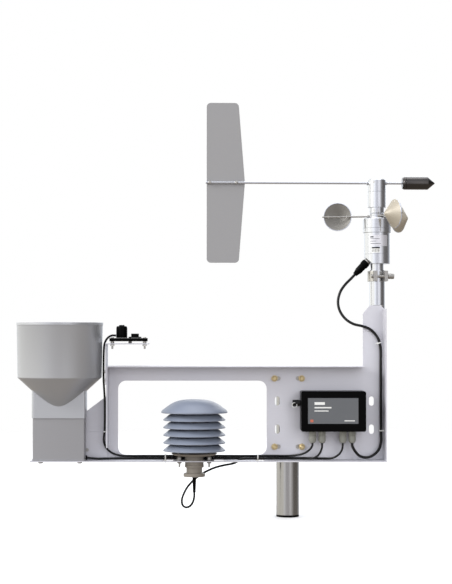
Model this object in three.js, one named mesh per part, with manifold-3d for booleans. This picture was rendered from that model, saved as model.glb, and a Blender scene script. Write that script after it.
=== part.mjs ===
// A mast-mounted compact weather station: wind vane and cup rotor, rain gauge, sunlight sensor,
// screened humidity probe and data logger, all carried by one folded sheet-metal plate.
// Units are millimetres. +Z is up, -Y is the front, and the origin is the mast's foot.
import * as THREE from "three";
import Module from "manifold-3d";
import { mergeVertices } from "three/addons/utils/BufferGeometryUtils.js";

const wasm = await Module();
wasm.setup();

// ---- Driving dimensions ----

const GAP = 0.3;

const MAST = { radius: 25, wall: 3, top: 312, plug: 4 };

const PLATE = {
  left: -391,
  right: 209,
  bottom: 125,
  top: 330,
  front: -35.5,
  thickness: 2.5,
  flange: 52,
  armLeft: 162.5,
  armTop: 461,
  wingLeft: -552,
  notchTop: 155,
};
const PLATE_BACK = PLATE.front + PLATE.thickness;
const FLANGE_FRONT = PLATE.front - PLATE.flange;
const SHELF_TOP = PLATE.bottom + PLATE.thickness;
const WINDOW = { left: -369, right: -46.5, bottom: 137, top: 297.5, corner: 17 };

const U_BOLT = { radius: 4, leg: 29.6, levels: [302.4, 154.4], tip: -50 };

const WIND = { x: 195.4, y: -15.5, tube: 16.85, tubeWall: 2, tubeBottom: 280, tubeTop: 538 };
const SENSOR = { stub: 14.4, body: 28.1, bottom: 552, split: 619.7, collar: 30.5, top: 651.4 };
const SPINDLE = { radius: 8, bottom: 572, top: 699.5 };
const CUP = { level: 656, arm: 85.9, radius: 31, depth: 25, rod: 2, firstAngle: 171.3 };
const VANE = { level: 729.1, yaw: 2.5, hub: 19.8, neck: 16, top: 737, shaft: 2.75 };
const PLUG_DIRECTION = new THREE.Vector3(-0.69, 0, -0.724).normalize();
const SOCKET = new THREE.Vector3(WIND.x - 19.4, WIND.y, 559);

const GAUGE = {
  x: -493.2,
  y: -61.5,
  rim: 93.2,
  barrel: 90.3,
  mouth: 423.5,
  shoulder: 305.3,
  slope: 0.914,
  width: 115,
  depth: 46,
  skirt: 218.5,
  wall: 1.6,
};
const BUCKET = { level: 178, halfLength: 38, width: 24, tilt: 12 };

const SOLAR = { x: -343.7, y: -61.5, leaf: 376.5, base: 383, baseTop: 390 };
const LEVELLING_SCREWS = [
  [-34.6, -20],
  [34.6, -20],
  [0, 38],
];

const SHIELD = { x: -203, y: -62, rim: 229.3, pitch: 16.4, plates: 5, outer: 66.8, dome: 71.4 };
const TIE_ROD = { radius: 2.6, circle: 38 };
const NECK = { radius: 20, bottom: 117.8, disc: 138 };
// The two studs that hold the screen on the shelf: their post above it, nut and tip below it.
const STUD = { x: 32, radius: 2, post: 3.2, nut: 5.4, nutHeight: 4, tip: 12.5 };

const LOGGER = { left: 25.6, right: 164.1, bottom: 190.4, top: 276.4, split: -83.5, front: -95.5 };
const PORT = { y: -60, level: 250, radius: 4.6, cap: 7, capLength: 17 };
const GLANDS = { xs: [50.9, 71.7, 116.3, 136.3], y: -66, nut: 181, bottom: 164.5 };
const LEAD = { thin: 4.6, thick: 6 };

// ---- Materials ----

const FINISHES = {
  galvanised: { color: 0xa9a9a8, roughness: 0.4, metalness: 0.9 },
  satinSheet: { color: 0xc9c8cc, roughness: 0.38, metalness: 0.6 },
  anodised: { color: 0xc4c6ca, roughness: 0.28, metalness: 0.9 },
  darkSteel: { color: 0x8d8b88, roughness: 0.3, metalness: 0.95 },
  yellowZinc: { color: 0xc2ac7c, roughness: 0.35, metalness: 0.9 },
  finSheet: { color: 0xababab, roughness: 0.6, metalness: 0.2 },
  cupShell: { color: 0xd8d2c2, roughness: 0.5, metalness: 0.3 },
  shieldPlastic: { color: 0x9ca3b2, roughness: 0.5, metalness: 0 },
  beigePlastic: { color: 0xb3a99b, roughness: 0.5, metalness: 0 },
  blackPlastic: { color: 0x141414, roughness: 0.45, metalness: 0 },
  greyPlastic: { color: 0xa4a69e, roughness: 0.5, metalness: 0 },
  blackRubber: { color: 0x101112, roughness: 0.5, metalness: 0 },
  boardGreen: { color: 0x1f5a37, roughness: 0.5, metalness: 0 },
  batteryBlue: { color: 0x2d4a73, roughness: 0.5, metalness: 0 },
};

function finish(name) {
  return new THREE.MeshStandardMaterial(FINISHES[name]);
}

// ---- Geometry helpers ----

const station = new THREE.Group();

function add(name, geometry, finishName, parent = station) {
  const mesh = new THREE.Mesh(geometry, finish(finishName));
  mesh.name = name;
  parent.add(mesh);
  return mesh;
}

function toSolid(geometry) {
  const bare = geometry.clone();
  bare.deleteAttribute("normal");
  bare.deleteAttribute("uv");
  const merged = mergeVertices(bare, 1e-4);
  const mesh = new wasm.Mesh({
    numProp: 3,
    vertProperties: new Float32Array(merged.attributes.position.array),
    triVerts: new Uint32Array(merged.index.array),
  });
  return new wasm.Manifold(mesh);
}

function toGeometry(solid) {
  const mesh = solid.getMesh();
  const geometry = new THREE.BufferGeometry();
  geometry.setAttribute("position", new THREE.BufferAttribute(new Float32Array(mesh.vertProperties), 3));
  geometry.setIndex(new THREE.BufferAttribute(new Uint32Array(mesh.triVerts), 1));
  geometry.computeVertexNormals();
  return geometry;
}

function join(...geometries) {
  return toGeometry(geometries.map(toSolid).reduce((whole, piece) => whole.add(piece)));
}

function cut(geometry, ...tools) {
  return toGeometry(tools.map(toSolid).reduce((whole, tool) => whole.subtract(tool), toSolid(geometry)));
}

function block(x0, x1, y0, y1, z0, z1) {
  const box = new THREE.BoxGeometry(x1 - x0, y1 - y0, z1 - z0);
  return box.translate((x0 + x1) / 2, (y0 + y1) / 2, (z0 + z1) / 2);
}

// A body turned about the vertical axis. The profile's points are [radius, height], up the
// outside and down the inside.
function turned(profile, segments = 24) {
  const points = profile.map(([radius, height]) => new THREE.Vector2(radius, height));
  return new THREE.LatheGeometry(points, segments).rotateX(Math.PI / 2);
}

function disc(radius, bottom, top, segments = 24) {
  return turned([[0, bottom], [radius, bottom], [radius, top], [0, top]], segments);
}

function ring(inner, outer, bottom, top, segments = 24) {
  return turned([[inner, bottom], [outer, bottom], [outer, top], [inner, top], [inner, bottom]], segments);
}

// A round bar between two points.
function bar(from, to, radius, segments = 16) {
  const start = new THREE.Vector3(...from);
  const along = new THREE.Vector3(...to).sub(start);
  const turn = new THREE.Quaternion().setFromUnitVectors(
    new THREE.Vector3(0, 0, 1),
    along.clone().normalize(),
  );
  return disc(radius, 0, along.length(), segments).applyQuaternion(turn).translate(...start.toArray());
}

function outline(points) {
  return new THREE.Shape(points.map(([x, y]) => new THREE.Vector2(x, y)));
}

// A shape drawn in X and Z, given thickness towards the front from yBack.
function upright(shape, yBack, thickness, curveSegments = 6) {
  const geometry = new THREE.ExtrudeGeometry(shape, { depth: thickness, bevelEnabled: false, curveSegments });
  return geometry.rotateX(Math.PI / 2).translate(0, yBack, 0);
}

// A shape drawn in X and Y, given thickness upwards from z.
function flat(shape, z, thickness, curveSegments = 6) {
  const geometry = new THREE.ExtrudeGeometry(shape, { depth: thickness, bevelEnabled: false, curveSegments });
  return geometry.translate(0, 0, z);
}

function roundedRectangle(x0, x1, y0, y1, radius) {
  const shape = new THREE.Shape();
  shape.absarc(x1 - radius, y0 + radius, radius, -Math.PI / 2, 0);
  shape.absarc(x1 - radius, y1 - radius, radius, 0, Math.PI / 2);
  shape.absarc(x0 + radius, y1 - radius, radius, Math.PI / 2, Math.PI);
  shape.absarc(x0 + radius, y0 + radius, radius, Math.PI, Math.PI * 1.5);
  shape.closePath();
  return shape;
}

// A slot with round ends, centred on x and z.
function slot(x, z, width, height) {
  const radius = Math.min(width, height) / 2 - 0.01;
  return roundedRectangle(x - width / 2, x + width / 2, z - height / 2, z + height / 2, radius);
}

// A round lead that follows a list of points.
function lead(points, diameter, steps, sides = 8) {
  const path = new THREE.CatmullRomCurve3(points.map((point) => new THREE.Vector3(...point)), false, "centripetal");
  const section = new THREE.Shape();
  for (let side = 0; side < sides; side += 1) {
    const angle = (side / sides) * Math.PI * 2;
    const x = (Math.cos(angle) * diameter) / 2;
    const y = (Math.sin(angle) * diameter) / 2;
    if (side === 0) section.moveTo(x, y);
    else section.lineTo(x, y);
  }
  section.closePath();
  return new THREE.ExtrudeGeometry(section, { steps, extrudePath: path, bevelEnabled: false });
}

// ---- Mast and its clamps ----

function makeMast() {
  const bore = MAST.radius - MAST.wall;
  add("mast_tube", ring(bore, MAST.radius, MAST.plug + GAP, MAST.top, 36), "galvanised");
  const foot = turned([
    [0, 0],
    [MAST.radius, 0],
    [MAST.radius, MAST.plug],
    [bore - GAP, MAST.plug],
    [bore - GAP, 24],
    [0, 24],
  ]);
  add("mast_foot_plug", foot, "blackPlastic");
  const cap = turned([
    [0, MAST.top - 16],
    [bore - GAP, MAST.top - 16],
    [bore - GAP, MAST.top + GAP],
    [MAST.radius, MAST.top + GAP],
    [MAST.radius - 1.5, MAST.top + 4],
    [0, MAST.top + 4],
  ]);
  add("mast_top_cap", cap, "blackPlastic");
}

// One square-backed U-bolt with its two nuts run up against the plate.
function uBolt(level) {
  let bolt = toSolid(halfRing(U_BOLT.leg, U_BOLT.radius).translate(0, 0, level));
  for (const x of [-U_BOLT.leg, U_BOLT.leg]) {
    const washerFace = PLATE.front - GAP;
    bolt = bolt.add(toSolid(bar([x, U_BOLT.tip, level], [x, 0, level], U_BOLT.radius, 8)));
    bolt = bolt.add(toSolid(bar([x, washerFace - 1.6, level], [x, washerFace, level], 8.4, 16)));
    bolt = bolt.add(toSolid(bar([x, washerFace - 8, level], [x, washerFace - 1.5, level], 7.3, 6)));
  }
  return toGeometry(bolt);
}

// The bend of a U-bolt: half a round-section ring behind the mast, reaching a little past its ends.
function halfRing(bendRadius, rodRadius) {
  const profile = [];
  for (let side = 0; side <= 8; side += 1) {
    const angle = (side / 8) * Math.PI * 2;
    profile.push([bendRadius + rodRadius * Math.cos(angle), rodRadius * Math.sin(angle)]);
  }
  const whole = turned(profile, 28);
  return cut(whole, block(-60, 60, -60, -0.5, -20, 20));
}

function makeClamps() {
  U_BOLT.levels.forEach((level, index) => {
    const name = index === 0 ? "upper" : "lower";
    add(`u_bolt_${name}`, uBolt(level), "yellowZinc");
    const saddle = block(-23, 23, PLATE_BACK + GAP, -17, level - 12, level + 12);
    const seat = disc(MAST.radius + GAP, level - 20, level + 20, 36);
    add(`mast_saddle_${name}`, cut(saddle, seat), "darkSteel");
  });
}

// ---- The folded plate ----

function plateOutline() {
  const shape = outline([
    [PLATE.wingLeft, PLATE.bottom],
    [PLATE.right, PLATE.bottom],
    [PLATE.right, PLATE.armTop - 7],
    [PLATE.right - 7, PLATE.armTop],
    [PLATE.armLeft + 15, PLATE.armTop],
    [PLATE.armLeft, PLATE.armTop - 18],
    [PLATE.armLeft, PLATE.top],
    [PLATE.left, PLATE.top],
    [PLATE.left, 266.4],
    [PLATE.wingLeft, 145],
  ]);
  shape.holes.push(roundedRectangle(WINDOW.left, WINDOW.right, WINDOW.bottom, WINDOW.top, WINDOW.corner));
  for (const x of [-23.5, 180.7]) {
    for (const z of [253.3, 192.4]) shape.holes.push(slot(x, z, 10.6, 20.2));
  }
  for (const level of U_BOLT.levels) {
    for (const side of [-1, 1]) shape.holes.push(slot(side * (U_BOLT.leg - 3.6), level, 19, 9.2));
  }
  return shape;
}

// Openings that lighten the shelf on both sides of the screen.
function shelfSlots() {
  const spans = [
    [-270, -248],
    [-160.5, -138],
    [-71.5, -52],
  ];
  const [front, back] = [FLANGE_FRONT + 4, PLATE.front - 4];
  return spans.map(([left, right]) => flat(roundedRectangle(left, right, front, back, 4), 100, 50));
}

function studHoles() {
  const hole = () => disc(STUD.radius + GAP, 100, 150, 12);
  return [-1, 1].map((side) => hole().translate(SHIELD.x + side * STUD.x, SHIELD.y, 0));
}

function makePlate() {
  const t = PLATE.thickness;
  let plate = toSolid(upright(plateOutline(), PLATE_BACK, t, 3));
  const flanges = [
    block(PLATE.left, PLATE.left + t, FLANGE_FRONT, PLATE_BACK, PLATE.notchTop, PLATE.top),
    block(PLATE.left, PLATE.armLeft, FLANGE_FRONT, PLATE_BACK, PLATE.top - t, PLATE.top),
    block(PLATE.left, PLATE.right, FLANGE_FRONT, PLATE_BACK, PLATE.bottom, SHELF_TOP),
    block(PLATE.right - t, PLATE.right, FLANGE_FRONT, PLATE_BACK, PLATE.bottom, PLATE.armTop - 8),
  ];
  for (const flange of flanges) plate = plate.add(toSolid(flange));
  const neckHole = disc(NECK.radius + 1, 100, 150).translate(SHIELD.x, SHIELD.y, 0);
  const leadSlot = flat(roundedRectangle(-120, -92, -60, -42, 8.9), 100, 50);
  const cuts = [neckHole, leadSlot, ...shelfSlots(), ...studHoles()];
  for (const shape of cuts) plate = plate.subtract(toSolid(shape));
  add("back_plate", toGeometry(plate), "satinSheet");
}

// ---- Wind sensor ----

function makeWindPost() {
  const tube = ring(WIND.tube - WIND.tubeWall, WIND.tube, WIND.tubeBottom, WIND.tubeTop, 28);
  add("wind_tube", tube.translate(WIND.x, WIND.y, 0), "anodised");

  let collar = toSolid(ring(WIND.tube + GAP, WIND.tube + 4, 513.6, 536, 28));
  collar = collar.add(toSolid(block(-10.5, -2, -34, -14, 513.6, 536)));
  collar = collar.add(toSolid(block(13.5, 21, -34, -9, 513.6, 536)));
  collar = collar.subtract(toSolid(disc(WIND.tube + GAP, 500, 550, 28)));
  collar = collar.subtract(toSolid(block(-2, 13.5, -40, -12, 500, 550)));
  collar = collar.subtract(toSolid(bar([-30, -27, 524], [40, -27, 524], 3.3, 12)));
  add("collar_clamp", toGeometry(collar).translate(WIND.x, WIND.y, 0), "darkSteel");

  const shank = bar([-14, -27, 524], [23, -27, 524], 3, 12);
  const knob = bar([21.3, -27, 524], [34.5, -27, 524], 6, 12);
  const head = bar([-15, -27, 524], [-10.8, -27, 524], 5.2, 6);
  add("clamp_bolt", join(shank, knob, head).translate(WIND.x, WIND.y, 0), "darkSteel");
}

function makeSensorBody() {
  const { stub, body, bottom, split, collar, top } = SENSOR;
  const shell = turned([
    [0, 506],
    [stub, 506],
    [stub, bottom],
    [body, bottom],
    [body, split],
    [body - 3, split],
    [body - 3, SPINDLE.bottom],
    [0, SPINDLE.bottom],
  ]);
  const corner = block(-50, 50, -50, 50, -50, 0);
  const tilt = new THREE.Quaternion().setFromUnitVectors(new THREE.Vector3(0, 0, -1), PLUG_DIRECTION);
  corner.applyQuaternion(tilt).translate(-19.4, 0, 559);
  const lowerCorner = toSolid(corner).intersect(toSolid(block(-60, -stub, -60, 60, 545, 600)));
  const housing = toGeometry(toSolid(shell).subtract(lowerCorner));
  add("sensor_body", housing.translate(WIND.x, WIND.y, 0), "anodised");

  const cover = turned([
    [collar - 3, split + GAP],
    [collar, split + GAP],
    [collar, top],
    [SPINDLE.radius + GAP, top],
    [SPINDLE.radius + GAP, top - 4],
    [collar - 3, top - 4],
    [collar - 3, split + GAP],
  ]);
  add("sensor_collar", cover.translate(WIND.x, WIND.y, 0), "anodised");

  const spindle = disc(SPINDLE.radius, SPINDLE.bottom + GAP, SPINDLE.top, 24);
  add("spindle", spindle.translate(WIND.x, WIND.y, 0), "darkSteel");
  const bearing = ring(SPINDLE.radius + GAP, 15, 640, top - 4 - GAP, 24);
  add("spindle_bearing", bearing.translate(WIND.x, WIND.y, 0), "darkSteel");
}

// A cone-shaped cup on its rod, in the rotor's frame: the rod runs out along X, and the open
// mouth faces +Y.
function cupOnRod() {
  const { radius, depth, arm, rod } = CUP;
  const shell = turned(
    [
      [0, -depth],
      [3, -depth],
      [radius - 0.8, -2],
      [radius, -1.5],
      [radius, 1.2],
      [radius - 1.4, 1.2],
      [radius - 1.4, -1],
      [2.4, -depth + 1.5],
      [0, -depth + 1.5],
    ],
    22,
  );
  shell.rotateX(-Math.PI / 2).translate(arm, 0, 0);
  return join(shell, bar([VANE.neck + GAP, 0, 0], [arm + radius + 2.5, 0, 0], rod, 10));
}

function makeCupRotor() {
  const rotor = new THREE.Group();
  rotor.position.set(WIND.x, WIND.y, CUP.level);
  station.add(rotor);
  const hub = ring(SPINDLE.radius + GAP, VANE.neck, SENSOR.top + GAP - CUP.level, 6, 28);
  add("cup_hub", hub, "anodised", rotor);
  for (let index = 0; index < 3; index += 1) {
    const cup = add(`cup_arm_${index + 1}`, cupOnRod(), "cupShell", rotor);
    cup.rotation.z = THREE.MathUtils.degToRad(CUP.firstAngle + 120 * index);
  }
}

function makeVane() {
  const vane = new THREE.Group();
  vane.position.set(WIND.x, WIND.y, 0);
  vane.rotation.z = THREE.MathUtils.degToRad(VANE.yaw);
  station.add(vane);

  const hub = turned(
    [
      [SPINDLE.radius + GAP, 663],
      [VANE.neck, 663],
      [VANE.neck, 675.3],
      [VANE.hub, 675.3],
      [VANE.hub, VANE.top - 1.5],
      [VANE.hub - 1.5, VANE.top],
      [0, VANE.top],
      [0, SPINDLE.top + GAP],
      [SPINDLE.radius + GAP, SPINDLE.top + GAP],
      [SPINDLE.radius + GAP, 663],
    ],
    28,
  );
  const crossHole = bar([-30, 0, VANE.level], [30, 0, VANE.level], VANE.shaft + GAP, 12);
  add("vane_hub", cut(hub, crossHole), "anodised", vane);
  add("vane_shaft", bar([-375, 0, VANE.level], [56, 0, VANE.level], VANE.shaft, 12), "anodised", vane);

  const fin = new THREE.Shape();
  const half = 175;
  const corner = 9;
  fin.absarc(-372.5 + corner, -half + corner, corner, Math.PI, Math.PI * 1.5);
  fin.absarc(-302 - corner, -half + corner, corner, Math.PI * 1.5, Math.PI * 2);
  fin.lineTo(-289, 0);
  fin.absarc(-302 - corner, half - corner, corner, 0, Math.PI / 2);
  fin.absarc(-372.5 + corner, half - corner, corner, Math.PI / 2, Math.PI);
  fin.closePath();
  const sheet = upright(fin, VANE.shaft + GAP + 1.5, 1.5, 4).translate(0, 0, VANE.level);
  add("tail_fin", sheet, "finSheet", vane);

  const weight = turned([[0, 56.3], [12.5, 56.3], [14, 59.5], [14, 112.5], [0.6, 128], [0, 128]], 28);
  add("counterweight", weight.rotateY(Math.PI / 2).translate(0, 0, VANE.level), "darkSteel", vane);
}

function alongPlug(distance) {
  return PLUG_DIRECTION.clone().multiplyScalar(distance).add(SOCKET);
}

function makeWindLead() {
  const profile = [[0, GAP], [7, GAP], [7, 4], [9.2, 5.5], [9.2, 15], [8.2, 16], [7.8, 31], [5.2, 42], [0, 42]];
  const plug = turned(profile, 16);
  const turn = new THREE.Quaternion().setFromUnitVectors(new THREE.Vector3(0, 0, 1), PLUG_DIRECTION);
  plug.applyQuaternion(turn).translate(...SOCKET.toArray());
  add("wind_plug", plug, "blackPlastic");
  const route = [
    alongPlug(42 + GAP).toArray(),
    alongPlug(54).toArray(),
    [126, -17, 507],
    [114.9, -20, 490.7],
    [109.5, -24, 469.3],
    [113.2, -29, 449],
    [125.7, -35, 431],
    [142, -40, 420.5],
    [160, -42, 416],
    [175.8, -43, 410],
    [188, -44, 399.3],
    [196, -45, 386],
    [200, -45, 368],
    [200.4, -45, 330],
    [200.4, -45, 250],
    [200.4, -46, 185],
    [200, -48, 166],
    [194.6, -52, 149],
    [181.5, -56, 137],
    [167, -60, 133],
    [152, -64, 137],
    [142, -66, 148],
    [136.8, -66, 158],
    [GLANDS.xs[3], GLANDS.y, GLANDS.bottom - GAP],
  ];
  add("wind_lead", lead(route, LEAD.thick, 48), "blackRubber");
}

// ---- Rain gauge ----

function gaugeRectangle(inset) {
  const halfWidth = GAUGE.width / 2 - inset;
  const halfDepth = GAUGE.depth / 2 - inset;
  return roundedRectangle(-halfWidth, halfWidth, -halfDepth, halfDepth, Math.max(4 - inset, 1));
}

function coneHeight(radius) {
  return GAUGE.shoulder - GAUGE.slope * (GAUGE.barrel - radius);
}

function makeGaugeFunnel() {
  const { rim, barrel, mouth, shoulder, wall, skirt } = GAUGE;
  const outlet = 6;
  const outside = [
    [outlet, 222],
    [outlet, coneHeight(outlet)],
    [barrel, shoulder],
    [rim - 0.8, mouth - 5.5],
    [rim, mouth - 5.5],
    [rim, mouth],
  ];
  const inside = [
    [rim - 1.6, mouth],
    [barrel - wall, shoulder + 0.8],
    [outlet - 2, coneHeight(outlet) + 1.4],
    [outlet - 2, 222],
  ];
  const funnel = turned([...outside, ...inside, outside[0]], 36);
  const skirtWalls = cut(flat(gaugeRectangle(0), skirt, 80, 3), flat(gaugeRectangle(wall), skirt - 1, 90, 3));
  const hollow = turned([
    [0, coneHeight(0) + 1.2],
    [barrel - wall + 0.7, shoulder + 0.6],
    [barrel - wall + 0.7, mouth],
    [0, mouth],
  ]);
  const body = toSolid(skirtWalls).subtract(toSolid(hollow)).add(toSolid(funnel));
  add("gauge_funnel", toGeometry(body).translate(GAUGE.x, GAUGE.y, 0), "anodised");
  const screen = disc(12, 0, 1.2, 16).translate(GAUGE.x, GAUGE.y, coneHeight(12) + 3.6);
  add("debris_screen", screen, "darkSteel");
}

function makeGaugeBase() {
  const inset = GAUGE.wall + GAP + 0.2;
  const outer = flat(gaugeRectangle(inset), SHELF_TOP + GAP, 98, 3);
  const plinth = flat(gaugeRectangle(0.5), SHELF_TOP + GAP, 3, 3);
  const inner = flat(gaugeRectangle(inset + 2), SHELF_TOP + GAP + 3, 100, 3);
  const drains = [-30, 28].map((x) => disc(3.5, 100, 140, 12).translate(x, 0, 0));
  const tray = cut(join(outer, plinth), inner, ...drains);
  add("gauge_base", tray.translate(GAUGE.x, GAUGE.y, 0), "satinSheet");
}

function makeTippingBucket() {
  const { level, halfLength, width, tilt } = BUCKET;
  const half = width / 2;
  const side = outline([
    [-halfLength, 2],
    [0, -8],
    [halfLength, 2],
    [halfLength, 6],
    [2, 26],
    [-2, 26],
    [-halfLength, 6],
  ]);
  const pocket = outline([
    [-60, 8.8],
    [-1.2, -5.6],
    [-1.2, 40],
    [-60, 40],
  ]);
  const leftPocket = upright(pocket, half - 1.6, width - 3.2);
  const rightPocket = leftPocket.clone().rotateZ(Math.PI);
  const boss = bar([0, -half, -7], [0, half, -7], 5, 16);
  const bore = bar([0, -half - 1, -7], [0, half + 1, -7], 1.9, 12);
  const bucket = cut(join(cut(upright(side, half, width), leftPocket, rightPocket), boss), bore);
  const mesh = add("tipping_bucket", bucket.translate(0, 0, 7), "greyPlastic");
  mesh.position.set(GAUGE.x, GAUGE.y, level - 7);
  mesh.rotation.y = THREE.MathUtils.degToRad(tilt);

  const floor = SHELF_TOP + GAP + 3 + GAP;
  let frame = toSolid(block(-12, 12, -17.5, 17.5, floor, floor + 3));
  for (const y of [-17.5, 15]) frame = frame.add(toSolid(block(-8, 8, y, y + 2.5, floor, level)));
  const pivot = [0, 0, level - 7];
  frame = frame.subtract(toSolid(bar([0, -30, pivot[2]], [0, 30, pivot[2]], 1.8, 12)));
  add("bucket_frame", toGeometry(frame).translate(GAUGE.x, GAUGE.y, 0), "darkSteel");
  const axle = bar([0, -18, pivot[2]], [0, 18, pivot[2]], 1.5, 12).translate(GAUGE.x, GAUGE.y, 0);
  add("bucket_axle", axle, "darkSteel");
  const reed = join(block(24, 36, -8, -6, floor, 158), block(27, 33, -10.5, -7, 140, 156));
  add("reed_switch", reed.translate(GAUGE.x, GAUGE.y, 0), "boardGreen");
}

function makeGaugeBracket() {
  const right = PLATE.left - GAP;
  const shelf = block(-554, right, FLANGE_FRONT, PLATE.front - GAP, PLATE.bottom, SHELF_TOP);
  const wall = block(-545, right, PLATE.front - GAP - 2.2, PLATE.front - GAP, PLATE.bottom, 186.6);
  add("gauge_bracket", join(shelf, wall), "satinSheet");
}

function makeRainLead() {
  const low = SHELF_TOP + GAP + LEAD.thin / 2;
  const route = [
    [GAUGE.x + 57.5, -58, low + 2.4],
    [-425, -57, low + 1.2],
    [-410, -54, low],
    [-390, -50, low],
    [-360, -44, low],
    [-320, -39.5, low],
    [-280, -38.4, low],
    [-200, -38.4, low],
    [-120, -38.4, low],
    [-30, -38.4, low],
    [30, -38.6, low],
    [55, -41, low],
    [76, -48, low],
    [94, -57, low + 1.4],
    [107, -63, low + 9],
    [114.5, -65.6, low + 20],
    [GLANDS.xs[2], GLANDS.y, GLANDS.bottom - GAP],
  ];
  add("rain_lead", lead(route, LEAD.thin, 58), "blackRubber");
}

// ---- Sunlight sensor ----

function makeSolarBracket() {
  const left = PLATE.left - 0.2;
  const back = SOLAR.y + 48;
  const frontEdge = SOLAR.y - 30;
  let bracket = toSolid(block(left - 2, -302, frontEdge, back, SOLAR.leaf, SOLAR.leaf + 2));
  const upstand = block(left - 2, left, FLANGE_FRONT, PLATE.front, 290, SOLAR.leaf + 2);
  bracket = bracket.add(toSolid(upstand));
  for (const [x, y] of LEVELLING_SCREWS) {
    const hole = disc(2.4, 360, 385, 12).translate(SOLAR.x + x, SOLAR.y + y, 0);
    bracket = bracket.subtract(toSolid(hole));
  }
  add("solar_bracket", toGeometry(bracket), "satinSheet");
}

function levellingOutline() {
  const corner = 6.5;
  const shape = new THREE.Shape();
  const [left, right, rear] = LEVELLING_SCREWS;
  shape.absarc(left[0], left[1], corner, THREE.MathUtils.degToRad(150), THREE.MathUtils.degToRad(270));
  shape.absarc(right[0], right[1], corner, THREE.MathUtils.degToRad(270), THREE.MathUtils.degToRad(390));
  shape.absarc(rear[0], rear[1], corner, THREE.MathUtils.degToRad(30), THREE.MathUtils.degToRad(150));
  shape.closePath();
  return shape;
}

function makeSolarSensor() {
  const holes = LEVELLING_SCREWS.map(([x, y]) => disc(2.4, 370, 400, 12).translate(x, y, 0));
  const base = cut(flat(levellingOutline(), SOLAR.base, SOLAR.baseTop - SOLAR.base, 6), ...holes);
  add("levelling_plate", base.translate(SOLAR.x, SOLAR.y, 0), "blackPlastic");
  LEVELLING_SCREWS.forEach(([x, y], index) => {
    const tip = index === 2 ? SOLAR.leaf : 366.7;
    const screw = turned(
      [
        [0, tip],
        [2, tip],
        [2, 378.8],
        [3.9, 378.8],
        [3.9, SOLAR.base - GAP],
        [2, SOLAR.base - GAP],
        [2, SOLAR.baseTop + GAP],
        [3.6, SOLAR.baseTop + GAP],
        [3.6, SOLAR.baseTop + 2],
        [0, SOLAR.baseTop + 2],
      ],
      10,
    );
    screw.translate(SOLAR.x + x, SOLAR.y + y, 0);
    add(`levelling_screw_${index + 1}`, screw, "darkSteel");
  });

  const seat = SOLAR.baseTop + GAP;
  const sensor = turned(
    [
      [0, seat],
      [12, seat],
      [12, 411],
      [11.2, 414.4],
      [8.6, 417.2],
      [5, 418.5],
      [0, 418.6],
    ],
    20,
  );
  add("solar_sensor", sensor.translate(-359.5, SOLAR.y, 0), "blackPlastic");
  const level = turned([[0, seat], [14, seat], [14, 392.8], [8.4, 393.2], [8.4, 399.6], [0, 399.6]], 18);
  add("bubble_level", level.translate(-331, SOLAR.y, 0), "blackPlastic");
}

function makeSolarLead() {
  const low = SHELF_TOP + GAP * 2 + LEAD.thin * 1.5;
  const route = [
    [-371.8, SOLAR.y, 395.5],
    [-382, SOLAR.y, 395.2],
    [-391, -61, 389],
    [-396.6, -60, 378],
    [-398.4, -59, 362],
    [-399, -57, 335],
    [-399, -55, 300],
    [-397, -53, 262],
    [-396.6, -52, 225],
    [-397, -51, 192],
    [-398.6, -50, 168],
    [-394, -49, 154],
    [-383, -46, 143],
    [-366, -42, 136.5],
    [-340, -39, low],
    [-300, -38.4, low],
    [-200, -38.4, low],
    [-110, -38.4, low],
    [-30, -38.4, low],
    [0, -40, low],
    [20, -48, low + 2.5],
    [36, -58, low + 8],
    [47.5, -65, low + 18],
    [GLANDS.xs[0], GLANDS.y, GLANDS.bottom - 4],
    [GLANDS.xs[0], GLANDS.y, GLANDS.bottom - GAP],
  ];
  add("solar_lead", lead(route, LEAD.thin, 64), "blackRubber");
}

// ---- Screened humidity probe ----

function shieldPlate() {
  const plate = turned(
    [
      [SHIELD.outer - 1.5, 0],
      [SHIELD.outer, 0],
      [SHIELD.outer, 2.2],
      [53.4, 13],
      [30, 13],
      [30, 11],
      [52.2, 11],
      [SHIELD.outer - 1.5, 0],
    ],
    24,
  );
  return cut(plate, ...tieRodPlaces().map(([x, y]) => disc(TIE_ROD.radius + GAP, 5, 20, 6).translate(x, y, 0)));
}

function tieRodPlaces() {
  return [90, 210, 330].map((degrees) => {
    const angle = THREE.MathUtils.degToRad(degrees);
    return [TIE_ROD.circle * Math.cos(angle), TIE_ROD.circle * Math.sin(angle)];
  });
}

function makeShield() {
  const { x, y, rim, dome, pitch, plates } = SHIELD;
  const cover = turned(
    [
      [dome - 2, rim],
      [dome, rim],
      [dome, rim + 2.5],
      [61.5, rim + 11.2],
      [52.4, rim + 18],
      [41.4, rim + 23.6],
      [29, rim + 27.1],
      [0, rim + 29],
      [0, rim + 26.8],
      [28.4, rim + 24.8],
      [40.4, rim + 21.4],
      [51.2, rim + 15.9],
      [60.2, rim + 9],
      [dome - 2, rim + 1.5],
      [dome - 2, rim],
    ],
    28,
  );
  add("shield_dome", cover.translate(x, y, 0), "shieldPlastic");
  for (let index = 1; index <= plates; index += 1) {
    const plate = shieldPlate().translate(x, y, rim - pitch * index);
    add(`shield_plate_${index}`, plate, "shieldPlastic");
  }
}

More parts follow.
